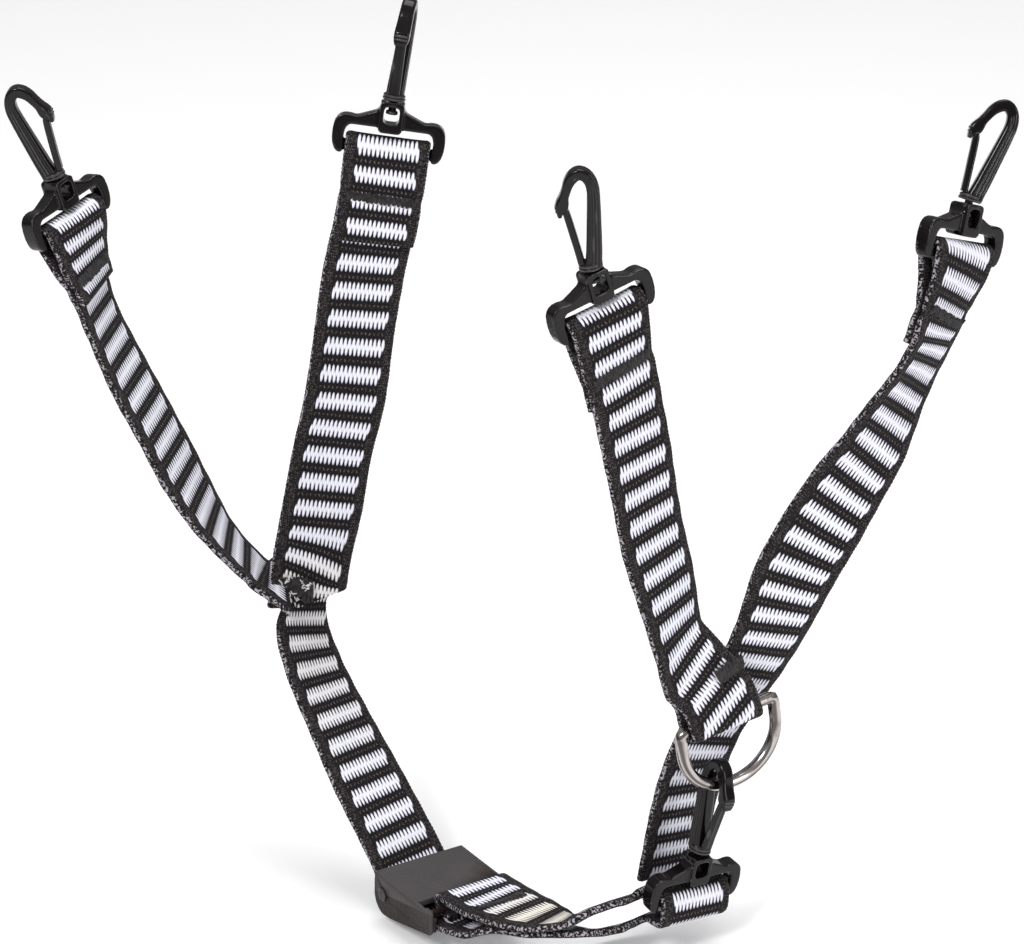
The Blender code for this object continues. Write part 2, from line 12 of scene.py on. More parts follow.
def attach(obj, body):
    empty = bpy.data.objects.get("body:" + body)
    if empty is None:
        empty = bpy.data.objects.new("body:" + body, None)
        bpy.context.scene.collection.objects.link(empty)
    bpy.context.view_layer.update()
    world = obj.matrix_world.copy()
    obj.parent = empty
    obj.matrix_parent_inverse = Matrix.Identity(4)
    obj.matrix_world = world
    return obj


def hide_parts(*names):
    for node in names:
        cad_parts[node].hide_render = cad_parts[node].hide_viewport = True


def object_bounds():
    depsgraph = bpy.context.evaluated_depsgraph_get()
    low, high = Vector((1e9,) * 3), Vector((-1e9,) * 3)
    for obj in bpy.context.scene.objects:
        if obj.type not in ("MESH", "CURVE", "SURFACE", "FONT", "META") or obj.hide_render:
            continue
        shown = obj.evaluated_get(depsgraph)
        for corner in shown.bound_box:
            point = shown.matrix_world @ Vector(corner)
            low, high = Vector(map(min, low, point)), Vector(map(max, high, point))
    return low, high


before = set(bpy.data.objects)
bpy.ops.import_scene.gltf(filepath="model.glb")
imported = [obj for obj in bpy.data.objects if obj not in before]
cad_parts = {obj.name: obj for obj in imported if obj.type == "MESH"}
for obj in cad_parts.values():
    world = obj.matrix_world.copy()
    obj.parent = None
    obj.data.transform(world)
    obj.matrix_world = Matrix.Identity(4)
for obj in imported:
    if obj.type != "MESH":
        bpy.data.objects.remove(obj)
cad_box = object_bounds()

MM = 0.001
WEB_WIDTH = 19.0
WEB_THICK = 1.66
HALF_LAYER = 0.7        # half the webbing's thickness where it goes round a bar
GAP = 0.3               # between parts that move on each other
LAYER = 0.85            # half the spacing of two layers sewn together
TAPER = 12.0            # run over which the layers come together past a bar
TURN_STEPS = 16         # pieces of the half circle round a bar
BAR_RADIUS = 1.3
TURN = BAR_RADIUS + GAP + HALF_LAYER
SLACK = 3.4             # how far the loop hangs below its bar
HEM = 22.0
HUB_TOP = 11.0          # of a frame, above its bar
HOOK_SEAT = 0.8         # the hook's hub sits this deep in the frame's
GATE_ROOT = (-2.0, 2.4)
WIRE = 1.4              # radius of the ring's wire
RING_TURN = WIRE + GAP + HALF_LAYER
RING_HALF, RING_DEPTH, RING_STRAIGHT = 12.5, 17.0, 5.4
PITCH = 6.45            # woven stripes
YARN = 0.985            # woven columns across the webbing
SEAM = 1.5              # reach of a row of stitches along the webbing
HANG = Vector((-23.4, 59.1, 194.7))   # inside of the left rear crook, which is the origin
FAR = 999.0             # past the end of any strap

# Routes: x, y, z of the webbing's centre line, plan angle of its width, and the tilt of its
# width, which is left out where the width stays square to the run.
LEFT_FRONT = [
    (-99.3, 52.0, 150.2, 52), (-97.3, 52.3, 142.3, 64), (-94.8, 52.6, 134.5, 75),
    (-92.2, 52.6, 125.7, 77), (-87.4, 53.0, 113.4, 73), (-82.0, 53.5, 101.7, 72),
    (-77.0, 54.0, 90.2, 71), (-71.6, 54.6, 79.2, 77), (-66.2, 55.1, 70.5, 87),
    (-61.4, 55.7, 64.4, 92), (-58.8, 56.0, 61.4, 94), (-56.2, 54.6, 60.6, 95, 6),
    (-54.0, 53.2, 59.9, 98, 12), (-52.6, 52.6, 59.0, 99, 13)]
LEFT_REAR = [
    (-27.9, 54.6, 166.6, 0), (-29.0, 53.6, 158.7, 2), (-30.8, 53.9, 149.0, 8),
    (-33.1, 54.6, 138.7, 13), (-35.3, 55.1, 125.7, 13), (-38.4, 55.1, 105.4, 12),
    (-41.6, 55.2, 91.7, 11), (-44.0, 55.2, 78.4, 11), (-46.6, 55.2, 65.7, 14),
    (-47.9, 55.2, 56.6, 18), (-48.4, 55.0, 53.2, 20)]
RIGHT_FRONT = [
    (19.4, -2.6, 149.3, 31, 14), (21.3, -2.3, 141.5, 36, 15), (23.3, -2.0, 133.4, 41, 15),
    (25.0, -1.8, 124.5, 42), (26.7, -1.8, 115.6, 42), (29.7, -1.7, 98.2, 45),
    (32.9, -1.6, 85.8, 48), (34.3, -1.6, 79.6, 52), (36.2, -1.8, 71.5, 56),
    (39.9, -1.0, 64.2, 43, 24), (44.4, 0.9, 58.1, 33, 12), (46.7, 1.8, 51.2, 31.0, 7.5)]
RIGHT_REAR = [
    (95.2, 11.2, 158.1, 42), (93.5, 9.1, 150.6, 46), (90.0, 8.6, 140.0, 51), (86.6, 8.7, 132.6, 48),
    (83.3, 8.8, 125.9, 41), (80.7, 8.5, 120.2, 34), (77.8, 8.0, 113.8, 25), (74.3, 7.6, 108.0, 17),
    (68.0, 7.2, 96.2, 6), (62.2, 7.2, 84.5, 8), (57.9, 9.5, 71.0, 19), (54.3, 11.2, 62.0, 25),
    (49.0, 11.8, 52.0, 30), (43.4, 11.6, 41.0, 32), (39.4, 12.0, 27.0, 34), (36.2, 14.2, 5.2, 33)]
CHIN = [
    (-46.8, 58.2, 66.0, 15), (-47.8, 58.2, 59.5, 20), (-49.0, 57.8, 53.0, 48),
    (-49.5, 54.4, 47.4, 59), (-46.9, 49.6, 39.9, 58), (-44.3, 46.6, 34.7, 55),
    (-41.3, 43.2, 29.7, 51), (-38.2, 39.8, 24.4, 47), (-34.9, 36.2, 18.9, 42),
    (-31.6, 32.6, 13.6, 38), (-28.1, 29.0, 8.0, 35)]
LOWER_RUN = [
    (1.2, -4.6, 2.6, 46, -8), (7.2, -6.6, 2.3, 66, -16), (13.2, -6.6, 1.0, 84, -27),
    (18.5, -5.0, -0.3, 91, -31), (24.0, -2.4, -0.9, 88, -30), (29.4, 0.6, -0.3, 70, -22),
    (34.2, 3.2, 0.4, 48, -8)]
UPPER_RUN = [
    (34.2, 3.2, 7.8, 48, -8), (29.4, 0.6, 6.3, 70, -22), (24.0, -2.4, 6.0, 88, -30),
    (18.5, -5.2, 5.6, 91, -31), (13.0, -7.6, 4.2, 80, -25), (8.2, -8.4, 5.0, 62, -14),
    (3.0, -6.8, 5.8, 46, -6)]

LOOP_BAR = Vector((40.5, 0.5, 6.5))
LOOP_WIDTH = Vector((0.82, 0.56, -0.10)).normalized()
LOOP_AXIS = Vector((0.18, -0.02, 0.985))
LOOP_HOOK = Vector((0.235, 0.03, 0.967))
LOOP_SPINE = (-0.63, 0.776, 0.0)
RING_BAR = Vector((46.7, 1.8, 51.2))
RING_ACROSS = Vector((0.85, 0.51, 0.13)).normalized()
RING_DOWN = Vector((0.13, 0.04, -0.98))
RING_SHIFT = 1.5
RING_HEM = 9.5          # of the webbing turned back round the ring
# The buckle's x runs along it from its pin end, y across it and z up.
BUCKLE_TOP = Vector((-31.9, 15.2, 4.0))
BUCKLE_ACROSS = Vector((0.829, 0.559, -0.03)).normalized()
BUCKLE_ALONG = Vector((0.559, -0.829, -0.01))
BUCKLE_WIDTH = 24.0
BUCKLE_LENGTH = 23.5
SEWN_ASIDE = 2.8        # how far the sewn end sits to one side
COVER_SIDE = 0.9        # wall thicknesses
COVER_TOP = 1.4
EAR = 1.0
COVER_END = 17.0
PIN_X, PIN_Z, PIN_R = 3.8, -4.2, 1.0
END_BAR_X, END_BAR_Z, END_BAR_R = 20.6, -1.6, 0.8
END_TURN = END_BAR_R + GAP + HALF_LAYER
SEWN_X, SEWN_Z = 19.4, -0.8     # where the sewn end turns, which is proud of the end bar

# Where woven stripes fall: run length from the path's start against the stripe's number.
STRIPES = {
    "left_front_strap": [(8.0, 0), (13.6, 1), (18.4, 2), (23.8, 3), (53.9, 8), (126.2, 19)],
    "left_rear_strap": [(16.5, 0), (22.9, 1), (57.35, 6), (133.7, 17)],
    "right_front_strap": [(14.0, 0), (20.4, 1), (32.4, 3), (148.2, 21)],
    "right_rear_strap": [(14.0, 0), (20.4, 1), (34.8, 3), (41.4, 4), (46.6, 5), (50.4, 6),
                         (55.8, 7), (62.6, 8), (69.0, 9), (148.0, 20.92), (161.4, 23),
                         (191.0, 27.5)],
    "chin_strap": [(17.6, 2), (23.5, 3), (42.5, 6), (173.5, 26), (237.2, 36)],
}
# Sewn hems are not all the same length.
HEMS = {"left_front_strap": 17.0, "left_rear_strap": HEM, "right_front_strap": 18.5,
        "right_rear_strap": 20.5}
# How far the stripes lean across the webbing where it is pulled on the bias: run length, lean.
STRAIGHT = [(0.0, 0.0), (FAR, 0.0)]
LEANS = {
    "right_rear_strap": [(0.0, 0.0), (24.0, -0.12), (40.0, -0.3), (75.0, -0.3), (110.0, -0.05),
                         (FAR, 0.0)],
    "right_front_strap": [(0.0, 0.0), (106.0, 0.0), (134.0, 0.6), (FAR, 0.62)],
    "left_rear_strap": [(0.0, 0.0), (124.0, 0.0), (133.0, -0.32), (140.0, -0.55), (FAR, -0.6)],
}
# How far a strap's last millimetres are dragged askew where it is sewn down, and from how far
# across its width, because the corner that is hidden isn't pulled.
SKEWS = {"left_rear_strap": -0.42}
SKEW_LENGTH = 9.0
SKEW_FROM = -2.0
# Where a strap is gathered by its stitching: run length, reach, share of the width lost.
GATHERS = {"chin_strap": (13.0, 5.0, 0.26)}
# Where the pale yarn turns from bluish white to cream: run length, how cream it is.
WARMTH = {
    "chin_strap": [(0.0, 0.5), (30.0, 0.45), (60.0, 0.1), (180.0, 0.15), (205.0, 1.0), (220.0, 1.0),
                   (230.0, 0.1)],
    "left_rear_strap": [(0.0, 0.1), (130.0, 0.1), (136.0, 0.6), (FAR, 0.6)],
}
PLAIN = [(0.0, 0.1), (FAR, 0.1)]


def to_world(p):
    return (Vector(p) - HANG) * MM


def square(v, axis):
    return (v - axis * v.dot(axis)).normalized()


def heading(places, i):
    """Unit vector along the run at its i-th place."""
    return (places[min(i + 1, len(places) - 1)] - places[max(i - 1, 0)]).normalized()


def unit_width(plan, tilt):
    p, t = math.radians(plan), math.radians(tilt)
    return Vector((math.cos(p) * math.cos(t), math.sin(p) * math.cos(t), math.sin(t)))


# ---------------------------------------------------------------- webbing routes

def smooth_route(points, spacing=0.5):
    """Stations (position, width, run length) on a curve through the route's points."""
    pos = [Vector(p[:3]) for p in points]
    tan = [heading(pos, i) for i in range(len(pos))]
    wid = []
    for t, (_, _, _, plan, *tilt) in zip(tan, points):
        wid.append(unit_width(plan, *tilt) if tilt else square(unit_width(plan, 0.0), t))
    out, run = [], 0.0
    for i in range(len(pos) - 1):
        chord = (pos[i + 1] - pos[i]).length
        steps = max(1, round(chord / spacing))
        for k in range(steps):
            u = k / steps
            h = (2 * u**3 - 3 * u**2 + 1, u**3 - 2 * u**2 + u, -2 * u**3 + 3 * u**2, u**3 - u**2)
            c = (pos[i] * h[0] + tan[i] * (h[1] * chord)
                 + pos[i + 1] * h[2] + tan[i + 1] * (h[3] * chord))
            w = wid[i].lerp(wid[i + 1], u).normalized()
            out.append([c, w, 0.0])
    out.append([pos[-1], wid[-1], 0.0])
    for i in range(1, len(out)):
        run += (out[i][0] - out[i - 1][0]).length
        out[i][2] = run
    return out


def face_normals(stations):
    """Unit vectors square to the webbing, on the side that faces the front (-Y)."""
    centres = [c for c, _, _ in stations]
    return [heading(centres, i).cross(w).normalized() for i, (_, w, _) in enumerate(stations)]


def spread(s, turn):
    """Half the distance between the layers, s past the centre of the bar they go round."""
    u = min(max(s / TAPER, 0.0), 1.0)
    return turn + (LAYER - turn) * u * u * (3 - 2 * u)


def turn_points(centre, start, over, radius, width):
    """Half circle round a bar, from centre+start over centre+over to centre-start."""
    out = []
    for k in range(1, TURN_STEPS):
        a = math.pi * k / TURN_STEPS
        out.append((centre + start * (radius * math.cos(a)) + over * (radius * math.sin(a)), width))
    return out


def arm_path(points, hem_side, hem_length, ring_end):
    """Hem, turn over the frame bar and run of one arm.  hem_side is +1 for a hem in front."""
    mid = smooth_route(points)
    nor = face_normals(mid)
    hem = [(c + n * hem_side * spread(s, TURN), w)
           for (c, w, s), n in zip(mid, nor) if s <= hem_length]
    hem.reverse()
    up = -(mid[1][0] - mid[0][0]).normalized()
    turn = turn_points(mid[0][0], nor[0] * hem_side, up, TURN, mid[0][1])
    total = mid[-1][2]
    run = []
    for (c, w, s), n in zip(mid, nor):
        half = spread(s, TURN)
        if ring_end:
            half = max(half, spread(total - s, RING_TURN))
        run.append((c - n * hem_side * half, w))
    path = hem + turn + run
    if ring_end:
        n = nor[-1]
        down = (mid[-1][0] - mid[-2][0]).normalized()
        path += turn_points(mid[-1][0], -n * hem_side, down, RING_TURN, mid[-1][1])
        for c, w, s in reversed(mid):
            if total - s > RING_HEM:
                break
            path.append((c + n * hem_side * spread(total - s, RING_TURN), w))
    return path


def loop_path():
    """The chin strap down through the buckle, round the loop bar and back to the buckle."""
    def in_buckle(x, z, side=0.0):
        p = BUCKLE_TOP + BUCKLE_ACROSS * (BUCKLE_WIDTH / 2 + side) + BUCKLE_ALONG * x
        return p.x, p.y, p.z + z, 34
    first = CHIN + [in_buckle(-3.4, -3.0), in_buckle(-0.8, -6.2), in_buckle(3.8, -7.35),
                    in_buckle(9.0, -6.45), in_buckle(14.5, -5.4), in_buckle(19.0, -4.9),
                    in_buckle(23.5, -4.3, 0.3), in_buckle(28.5, -3.3, 1.2)] + LOWER_RUN
    path = [(c, w) for c, w, _ in smooth_route(first)]
    out = square(Vector((0.56, -0.82, 0.0)), LOOP_WIDTH)
    up = LOOP_WIDTH.cross(out)
    if up.z < 0:
        up = -up
    behind = -out * 3.6
    low = LOOP_BAR - up * SLACK
    path.append((low + behind - up * TURN, LOOP_WIDTH))
    path.append((low - up * TURN, LOOP_WIDTH))
    quarter = TURN_STEPS // 2
    path += turn_points(low, -up, out, TURN, LOOP_WIDTH)[:quarter]
    path += turn_points(LOOP_BAR, -up, out, TURN, LOOP_WIDTH)[quarter - 1:]
    path.append((LOOP_BAR + up * TURN, LOOP_WIDTH))
    path.append((LOOP_BAR + behind + up * TURN, LOOP_WIDTH))
    bar = buckle_point(SEWN_X, BUCKLE_WIDTH / 2 + SEWN_ASIDE, SEWN_Z)
    top = Vector((0, 0, 1))
    last = UPPER_RUN + [tuple(bar + BUCKLE_ALONG * 7.4 + top * (END_TURN + 0.6)) + (36,),
                        tuple(bar + BUCKLE_ALONG * 3.2 + top * END_TURN) + (34,)]
    path += [(c, w) for c, w, _ in smooth_route(last)]
    path.append((bar + top * END_TURN, BUCKLE_ACROSS))
    path += turn_points(bar, top, -BUCKLE_ALONG, END_TURN, BUCKLE_ACROSS)
    path.append((bar - top * END_TURN, BUCKLE_ACROSS))
    path.append((bar - top * END_TURN + BUCKLE_ALONG * 4.0, BUCKLE_ACROSS))
    return path


def even(path):
    """The path resampled at an even step, with small kinks smoothed away."""
    step = 0.45
    run = [0.0]
    for (a, _), (b, _) in zip(path, path[1:]):
        run.append(run[-1] + (b - a).length)
    count = max(2, round(run[-1] / step))
    out, j = [], 0
    for k in range(count + 1):
        s = run[-1] * k / count
        while j < len(run) - 2 and run[j + 1] < s:
            j += 1
        u = (s - run[j]) / max(run[j + 1] - run[j], 1e-9)
        (a, v), (b, w) = path[j:j + 2]
        out.append([a.lerp(b, u), v.lerp(w, u).normalized(), s])
    for _ in range(3):
        prev = [(c.copy(), w.copy()) for c, w, _ in out]
        for i in range(1, len(out) - 1):
            out[i][0] = (prev[i - 1][0] + prev[i][0] * 2 + prev[i + 1][0]) / 4
            out[i][1] = (prev[i - 1][1] + prev[i][1] * 2 + prev[i + 1][1]).normalized()
    return out


def interpolate(anchors, s):
    """Piecewise line through the anchors, carried on past both ends."""
    for (a, x), (b, y) in zip(anchors, anchors[1:]):
        if s <= b or (b, y) == anchors[-1]:
            return x + (y - x) * (s - a) / (b - a)


# ---------------------------------------------------------------- node graphs

class Graph:
    """Small helper for wiring a material's nodes."""

    def __init__(self, name):
        self.mat = bpy.data.materials.new(name)
        self.mat.use_nodes = True
        self.tree = self.mat.node_tree
        self.shader = self.tree.nodes["Principled BSDF"]

    def node(self, kind, **settings):
        n = self.tree.nodes.new(kind)
        for key, value in settings.items():
            setattr(n, key, value)
        return n

    def wire(self, source, socket):
        if isinstance(source, (int, float)):
            socket.default_value = source
        elif isinstance(source, tuple):
            opaque = len(source) == 3 and socket.type == "RGBA"
            socket.default_value = (*source, 1.0) if opaque else source
        else:
            self.tree.links.new(source, socket)

    def math(self, operation, *args, clamp=False):
        n = self.node("ShaderNodeMath", operation=operation, use_clamp=clamp)
        for source, socket in zip(args, n.inputs):
            self.wire(source, socket)
        return n.outputs[0]

    def add(self, a, b):
        return self.math("ADD", a, b)

    def sub(self, a, b):
        return self.math("SUBTRACT", a, b)

    def mul(self, a, b):
        return self.math("MULTIPLY", a, b)

    def div(self, a, b):
        return self.math("DIVIDE", a, b)

    def size(self, a):
        return self.math("ABSOLUTE", a)

    def place(self):
        """The point's place in the object, in metres."""
        return self.node("ShaderNodeTexCoord").outputs["Object"]

    def edges(self):
        """How sharply the surface bulges, about 0.5 where it is flat."""
        return self.node("ShaderNodeNewGeometry").outputs["Pointiness"]

    def stretched(self, vector, scale):
        n = self.node("ShaderNodeMapping")
        self.wire(vector, n.inputs["Vector"])
        n.inputs["Scale"].default_value = scale
        return n.outputs[0]

    def step(self, value, low, high):
        """0 below low, 1 above high, smooth between."""
        n = self.node("ShaderNodeMapRange", interpolation_type="SMOOTHSTEP")
        for source, socket in zip((value, low, high, 0.0, 1.0), n.inputs):
            self.wire(source, socket)
        return n.outputs[0]

    def mix(self, factor, a, b):
        n = self.node("ShaderNodeMix", data_type="RGBA")
        self.wire(factor, n.inputs[0])
        self.wire(a, n.inputs[6])
        self.wire(b, n.inputs[7])
        return n.outputs[2]

    def noise(self, vector, scale, detail=2.0, rough=0.5):
        n = self.node("ShaderNodeTexNoise")
        self.wire(vector, n.inputs["Vector"])
        n.inputs["Scale"].default_value = scale
        n.inputs["Detail"].default_value = detail
        n.inputs["Roughness"].default_value = rough
        return n.outputs["Fac"]

    def bump(self, height, distance, strength=1.0, normal=None):
        n = self.node("ShaderNodeBump")
        n.inputs["Strength"].default_value = strength
        n.inputs["Distance"].default_value = distance
        self.wire(height, n.inputs["Height"])
        if normal is not None:
            self.wire(normal, n.inputs["Normal"])
        return n.outputs["Normal"]

    def set(self, **values):
        for key, value in values.items():
            self.wire(value, self.shader.inputs[key.replace("_", " ")])


def repeat(g, value, pitch, shift=0.0):
    """Signed distance from the nearest of the lines that repeat every pitch."""
    cell = g.math("FRACT", g.add(g.div(value, pitch), shift + 0.5))
    return g.mul(g.sub(cell, 0.5), pitch)


def dome(g, a, b):
    """1 in the middle and 0 on the unit circle."""
    return g.sub(1.0, g.add(g.mul(a, a), g.mul(b, b)))


def webbing_material():
    """Black webbing with blocks of pale floats; u is across in mm, v counts stripes."""
    inner, outer = 6.9, 7.3                  # where the plain ground turns into the selvedge
    g = Graph("striped_webbing")
    uv = g.node("ShaderNodeUVMap", uv_map="weave").outputs[0]
    split = g.node("ShaderNodeSeparateXYZ")
    g.wire(uv, split.inputs[0])
    u, v = split.outputs[0], split.outputs[1]
    along = g.mul(v, PITCH)
    flat = g.node("ShaderNodeCombineXYZ")
    g.wire(u, flat.inputs[0])
    g.wire(along, flat.inputs[1])
    spot = flat.outputs[0]
    wobble = g.mul(g.sub(g.noise(spot, 0.35, 2.0), 0.5), 0.5)
    fine = g.noise(spot, 2.6, 2.0, 0.6)
    y = g.add(repeat(g, along, PITCH), g.mul(wobble, 0.6))
    x = g.add(u, g.mul(wobble, 0.25))

    outward = g.size(x)

    # A stripe is two rows of long pale floats, set half a column apart.
    floats, heights = [], []
    for centre, shift, offset in ((0.72, 0.5, 0.0), (-0.72, 0.0, 0.49)):
        across = g.div(repeat(g, x, YARN, shift), 0.41)
        lengthways = g.div(g.sub(y, centre), 1.55)
        inside = g.step(g.size(g.sub(x, offset)), 7.15, 6.95)
        h = g.math("MULTIPLY", dome(g, across, lengthways), inside, clamp=True)
        heights.append(h)
        floats.append(g.step(h, 0.05, 0.30))
    white = g.math("MAXIMUM", *floats)
    height = g.math("SQRT", g.math("MAXIMUM", *heights))

    # Brown specks in a zigzag between the stripes.
    middle = repeat(g, along, PITCH, 0.5)
    odd = g.sub(g.math("PINGPONG", g.div(x, YARN), 1.0), 0.5)
    speck_y = g.div(g.sub(middle, g.mul(odd, 0.9)), 0.34)
    speck_x = g.div(repeat(g, x, YARN, 0.5), 0.26)
    ground = g.step(outward, outer, inner)
    speck = g.mul(g.step(dome(g, speck_x, speck_y), 0.0, 0.6), ground)
    speck = g.mul(speck, g.step(fine, 0.36, 0.6))

    # Selvedges of dark twill with lighter glints, and fuzz on the cut side.
    rise = g.add(outward, g.mul(along, 0.9))
    fall = g.sub(outward, g.mul(along, 0.55))
    twill_a = g.math("COSINE", g.mul(rise, 2 * math.pi / 0.86))
    twill_b = g.math("COSINE", g.mul(fall, 2 * math.pi / 1.02))
    twill = g.mul(g.add(g.mul(twill_a, twill_b), 1.0), 0.5)
    edge = g.step(outward, inner, outer)
    grit = g.noise(spot, 1.9, 1.0, 0.5)
    side = g.step(outward, 9.0, 9.35)
    glints = g.mul(g.step(twill, 0.60, 0.92), edge)
    glints = g.mul(glints, g.step(grit, 0.44, 0.60))
    tufts = g.step(g.noise(g.place(), 1700.0, 1.0, 0.4), 0.53, 0.62)
    fuzz = g.mul(tufts, g.math("MAXIMUM", edge, side))
    glints = g.math("MAXIMUM", glints, g.mul(fuzz, g.add(0.35, g.mul(side, 0.65))))

    ribs = g.size(g.math("COSINE", g.mul(x, math.pi / 0.49)))
    ground_height = g.add(g.mul(ribs, 0.22), g.mul(twill, 0.3))
    ground_height = g.add(ground_height, g.mul(speck, 0.3))
    total = g.add(g.math("MAXIMUM", ground_height, height), g.mul(fine, 0.10))

    warm = g.node("ShaderNodeAttribute", attribute_name="warm").outputs["Fac"]
    lit = g.mix(warm, (0.88, 0.88, 0.97), (0.91, 0.87, 0.80))
    shade = g.mix(warm, (0.29, 0.30, 0.44), (0.38, 0.33, 0.28))
    pale = g.mix(g.step(g.add(height, g.mul(fine, 0.22)), 0.42, 1.02), shade, lit)
    grime = g.step(g.noise(spot, 0.16, 3.0), 0.62, 0.8)
    pale = g.mix(g.mul(grime, 0.25), pale, (0.50, 0.47, 0.44))
    dark = g.mix(g.step(fine, 0.3, 0.75), (0.0065, 0.0055, 0.0060), (0.021, 0.018, 0.019))
    dark = g.mix(g.mul(speck, 0.8), dark, (0.20, 0.165, 0.16))
    glint = g.mix(side, (0.15, 0.128, 0.128), (0.50, 0.47, 0.52))
    dark = g.mix(g.mul(glints, 0.75), dark, glint)
    g.set(Base_Color=g.mix(white, dark, pale), Roughness=0.82, Normal=g.bump(total, 0.00034, 0.9),
          Specular_IOR_Level=0.10, Sheen_Weight=0.02, Sheen_Roughness=0.5)
    return g.mat


def thread_material(name, low, high):
    """Matt thread with a diagonal twist."""
    g = Graph(name)
    spot = g.place()
    n = g.noise(spot, 900.0, 3.0)
    twist = g.node("ShaderNodeTexWave", wave_type="BANDS", bands_direction="DIAGONAL")
    g.wire(spot, twist.inputs["Vector"])
    twist.inputs["Scale"].default_value = 900.0
    twist.inputs["Distortion"].default_value = 1.5
    g.set(Base_Color=g.mix(g.step(n, 0.35, 0.65), low, high), Roughness=0.7,
          Normal=g.bump(twist.outputs["Fac"], 0.00008, 0.6), Specular_IOR_Level=0.3,
          Sheen_Weight=0.15)
    return g.mat


def acetal_material(name, tone):
    """Glossy moulded plastic with a faint flow mottling, and a painted highlight that lightens its
    sharply curved edges.
    """
    g = Graph(name)
    spot = g.place()
    cloud = g.noise(spot, 160.0, 3.0)
    grain = g.noise(spot, 2600.0, 2.0, 0.6)
    # painted highlight: sharply curved edges are made lighter to stand in for the shine along them
    edge_highlight = g.mul(g.step(g.edges(), 0.515, 0.57), 0.55)
    dark = tuple(c * 0.75 for c in tone)
    base = g.mix(g.step(cloud, 0.35, 0.7), dark, tone)
    colour = g.mix(edge_highlight, base, (0.085, 0.078, 0.080))
    rough = g.add(0.07, g.mul(cloud, 0.12))
    g.set(Base_Color=colour, Roughness=rough, Normal=g.bump(grain, 0.00002, 0.5),
          Specular_IOR_Level=0.26)
    return g.mat


def satin_material(name, low, high):
    """Fine spark-eroded grain of the buckle's plastic."""
    g = Graph(name)
    spot = g.place()
    pits = g.node("ShaderNodeTexVoronoi", feature="SMOOTH_F1")
    g.wire(spot, pits.inputs["Vector"])
    pits.inputs["Scale"].default_value = 2400.0
    grain = g.noise(spot, 2300.0, 2.0, 0.7)
    cloud = g.noise(spot, 120.0, 3.0)
    scratch = g.noise(g.stretched(spot, (60.0, 900.0, 300.0)), 1.0, 4.0, 0.7)
    # painted highlight: sharply curved edges are made lighter to stand in for the shine along them
    edge_highlight = g.mul(g.step(g.edges(), 0.52, 0.60), 0.5)
    base = g.mix(g.step(g.add(g.mul(grain, 0.6), g.mul(cloud, 0.4)), 0.42, 0.58), low, high)
    base = g.mix(g.mul(g.step(scratch, 0.62, 0.74), 0.22), base, (0.085, 0.080, 0.080))
    base = g.mix(edge_highlight, base, (0.12, 0.115, 0.12))
    height = g.add(g.mul(pits.outputs["Distance"], 0.7), g.mul(grain, 0.5))
    g.set(Base_Color=base, Roughness=g.add(0.44, g.mul(cloud, 0.14)),
          Normal=g.bump(height, 0.00009, 0.8), Specular_IOR_Level=0.12)
    return g.mat


def chrome_material():
    """Drawn wire, polished, with a painted dark reflection streak along it where its surface faces
    one set way.
    """
    g = Graph("polished_chrome")
    spot = g.place()
    cloud = g.noise(spot, 240.0, 3.0)
    lines = g.noise(g.stretched(spot, (200.0, 200.0, 2400.0)), 1.0, 3.0, 0.6)
    facing = g.node("ShaderNodeVectorMath", operation="DOT_PRODUCT")
    g.wire(g.node("ShaderNodeNewGeometry").outputs["Normal"], facing.inputs[0])
    facing.inputs[1].default_value = (0.35, -0.25, 0.9)
    # painted reflection: a dark band wherever the surface faces a set direction
    painted_reflection_streak = g.step(g.size(g.sub(facing.outputs["Value"], 0.2)), 0.26, 0.08)
    colour = g.mix(g.step(cloud, 0.4, 0.75), (0.50, 0.46, 0.44), (0.30, 0.265, 0.25))
    colour = g.mix(g.mul(painted_reflection_streak, 0.85), colour, (0.05, 0.042, 0.040))
    g.set(Base_Color=colour, Metallic=1.0, Roughness=g.add(0.10, g.mul(cloud, 0.14)),
          Normal=g.bump(lines, 0.00001, 0.4))
    return g.mat


# ---------------------------------------------------------------- meshes

def linked(name, data):
    ob = bpy.data.objects.new(name, data)
    bpy.context.scene.collection.objects.link(ob)
    return ob


def applied(ob):
    """The object's mesh with its modifiers or bevel applied; the object itself is removed."""
    dg = bpy.context.evaluated_depsgraph_get()
    me = bpy.data.meshes.new_from_object(ob.evaluated_get(dg))
    bpy.data.objects.remove(ob)
    return me


def skin(bm, rows, ring=False):
    """Faces from row to row: capped at both ends, or the last row joined to the first."""
    count = len(rows[0])
    for lo, hi in zip(rows, rows[1:] + rows[:1] if ring else rows[1:]):
        for k in range(count):
            m = (k + 1) % count
            bm.faces.new((lo[k], lo[m], hi[m], hi[k]))
    if not ring:
        bm.faces.new(rows[0])
        bm.faces.new(rows[-1])


def closed(bm, name):
    """The bmesh as a mesh with its faces turned outwards."""
    bmesh.ops.recalc_face_normals(bm, faces=bm.faces)
    return plain(bm, name)


def plain(bm, name):
    me = bpy.data.meshes.new(name)
    bm.to_mesh(me)
    bm.free()
    return me


def new_object(name, me, mat, smooth=None):
    """smooth is the angle in degrees that stays sharp, 0 for none, or None for flat faces."""
    me.name = name
    me.materials.clear()
    me.materials.append(mat)
    ob = linked(name, me)
    if smooth is not None:
        me.shade_smooth()
        if smooth:
            me.set_sharp_from_angle(angle=math.radians(smooth))
    return ob


def settle(ob, node, body):
    """Stands for a CAD node and moves with its body."""
    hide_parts(node)
    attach(ob, body)
    return ob


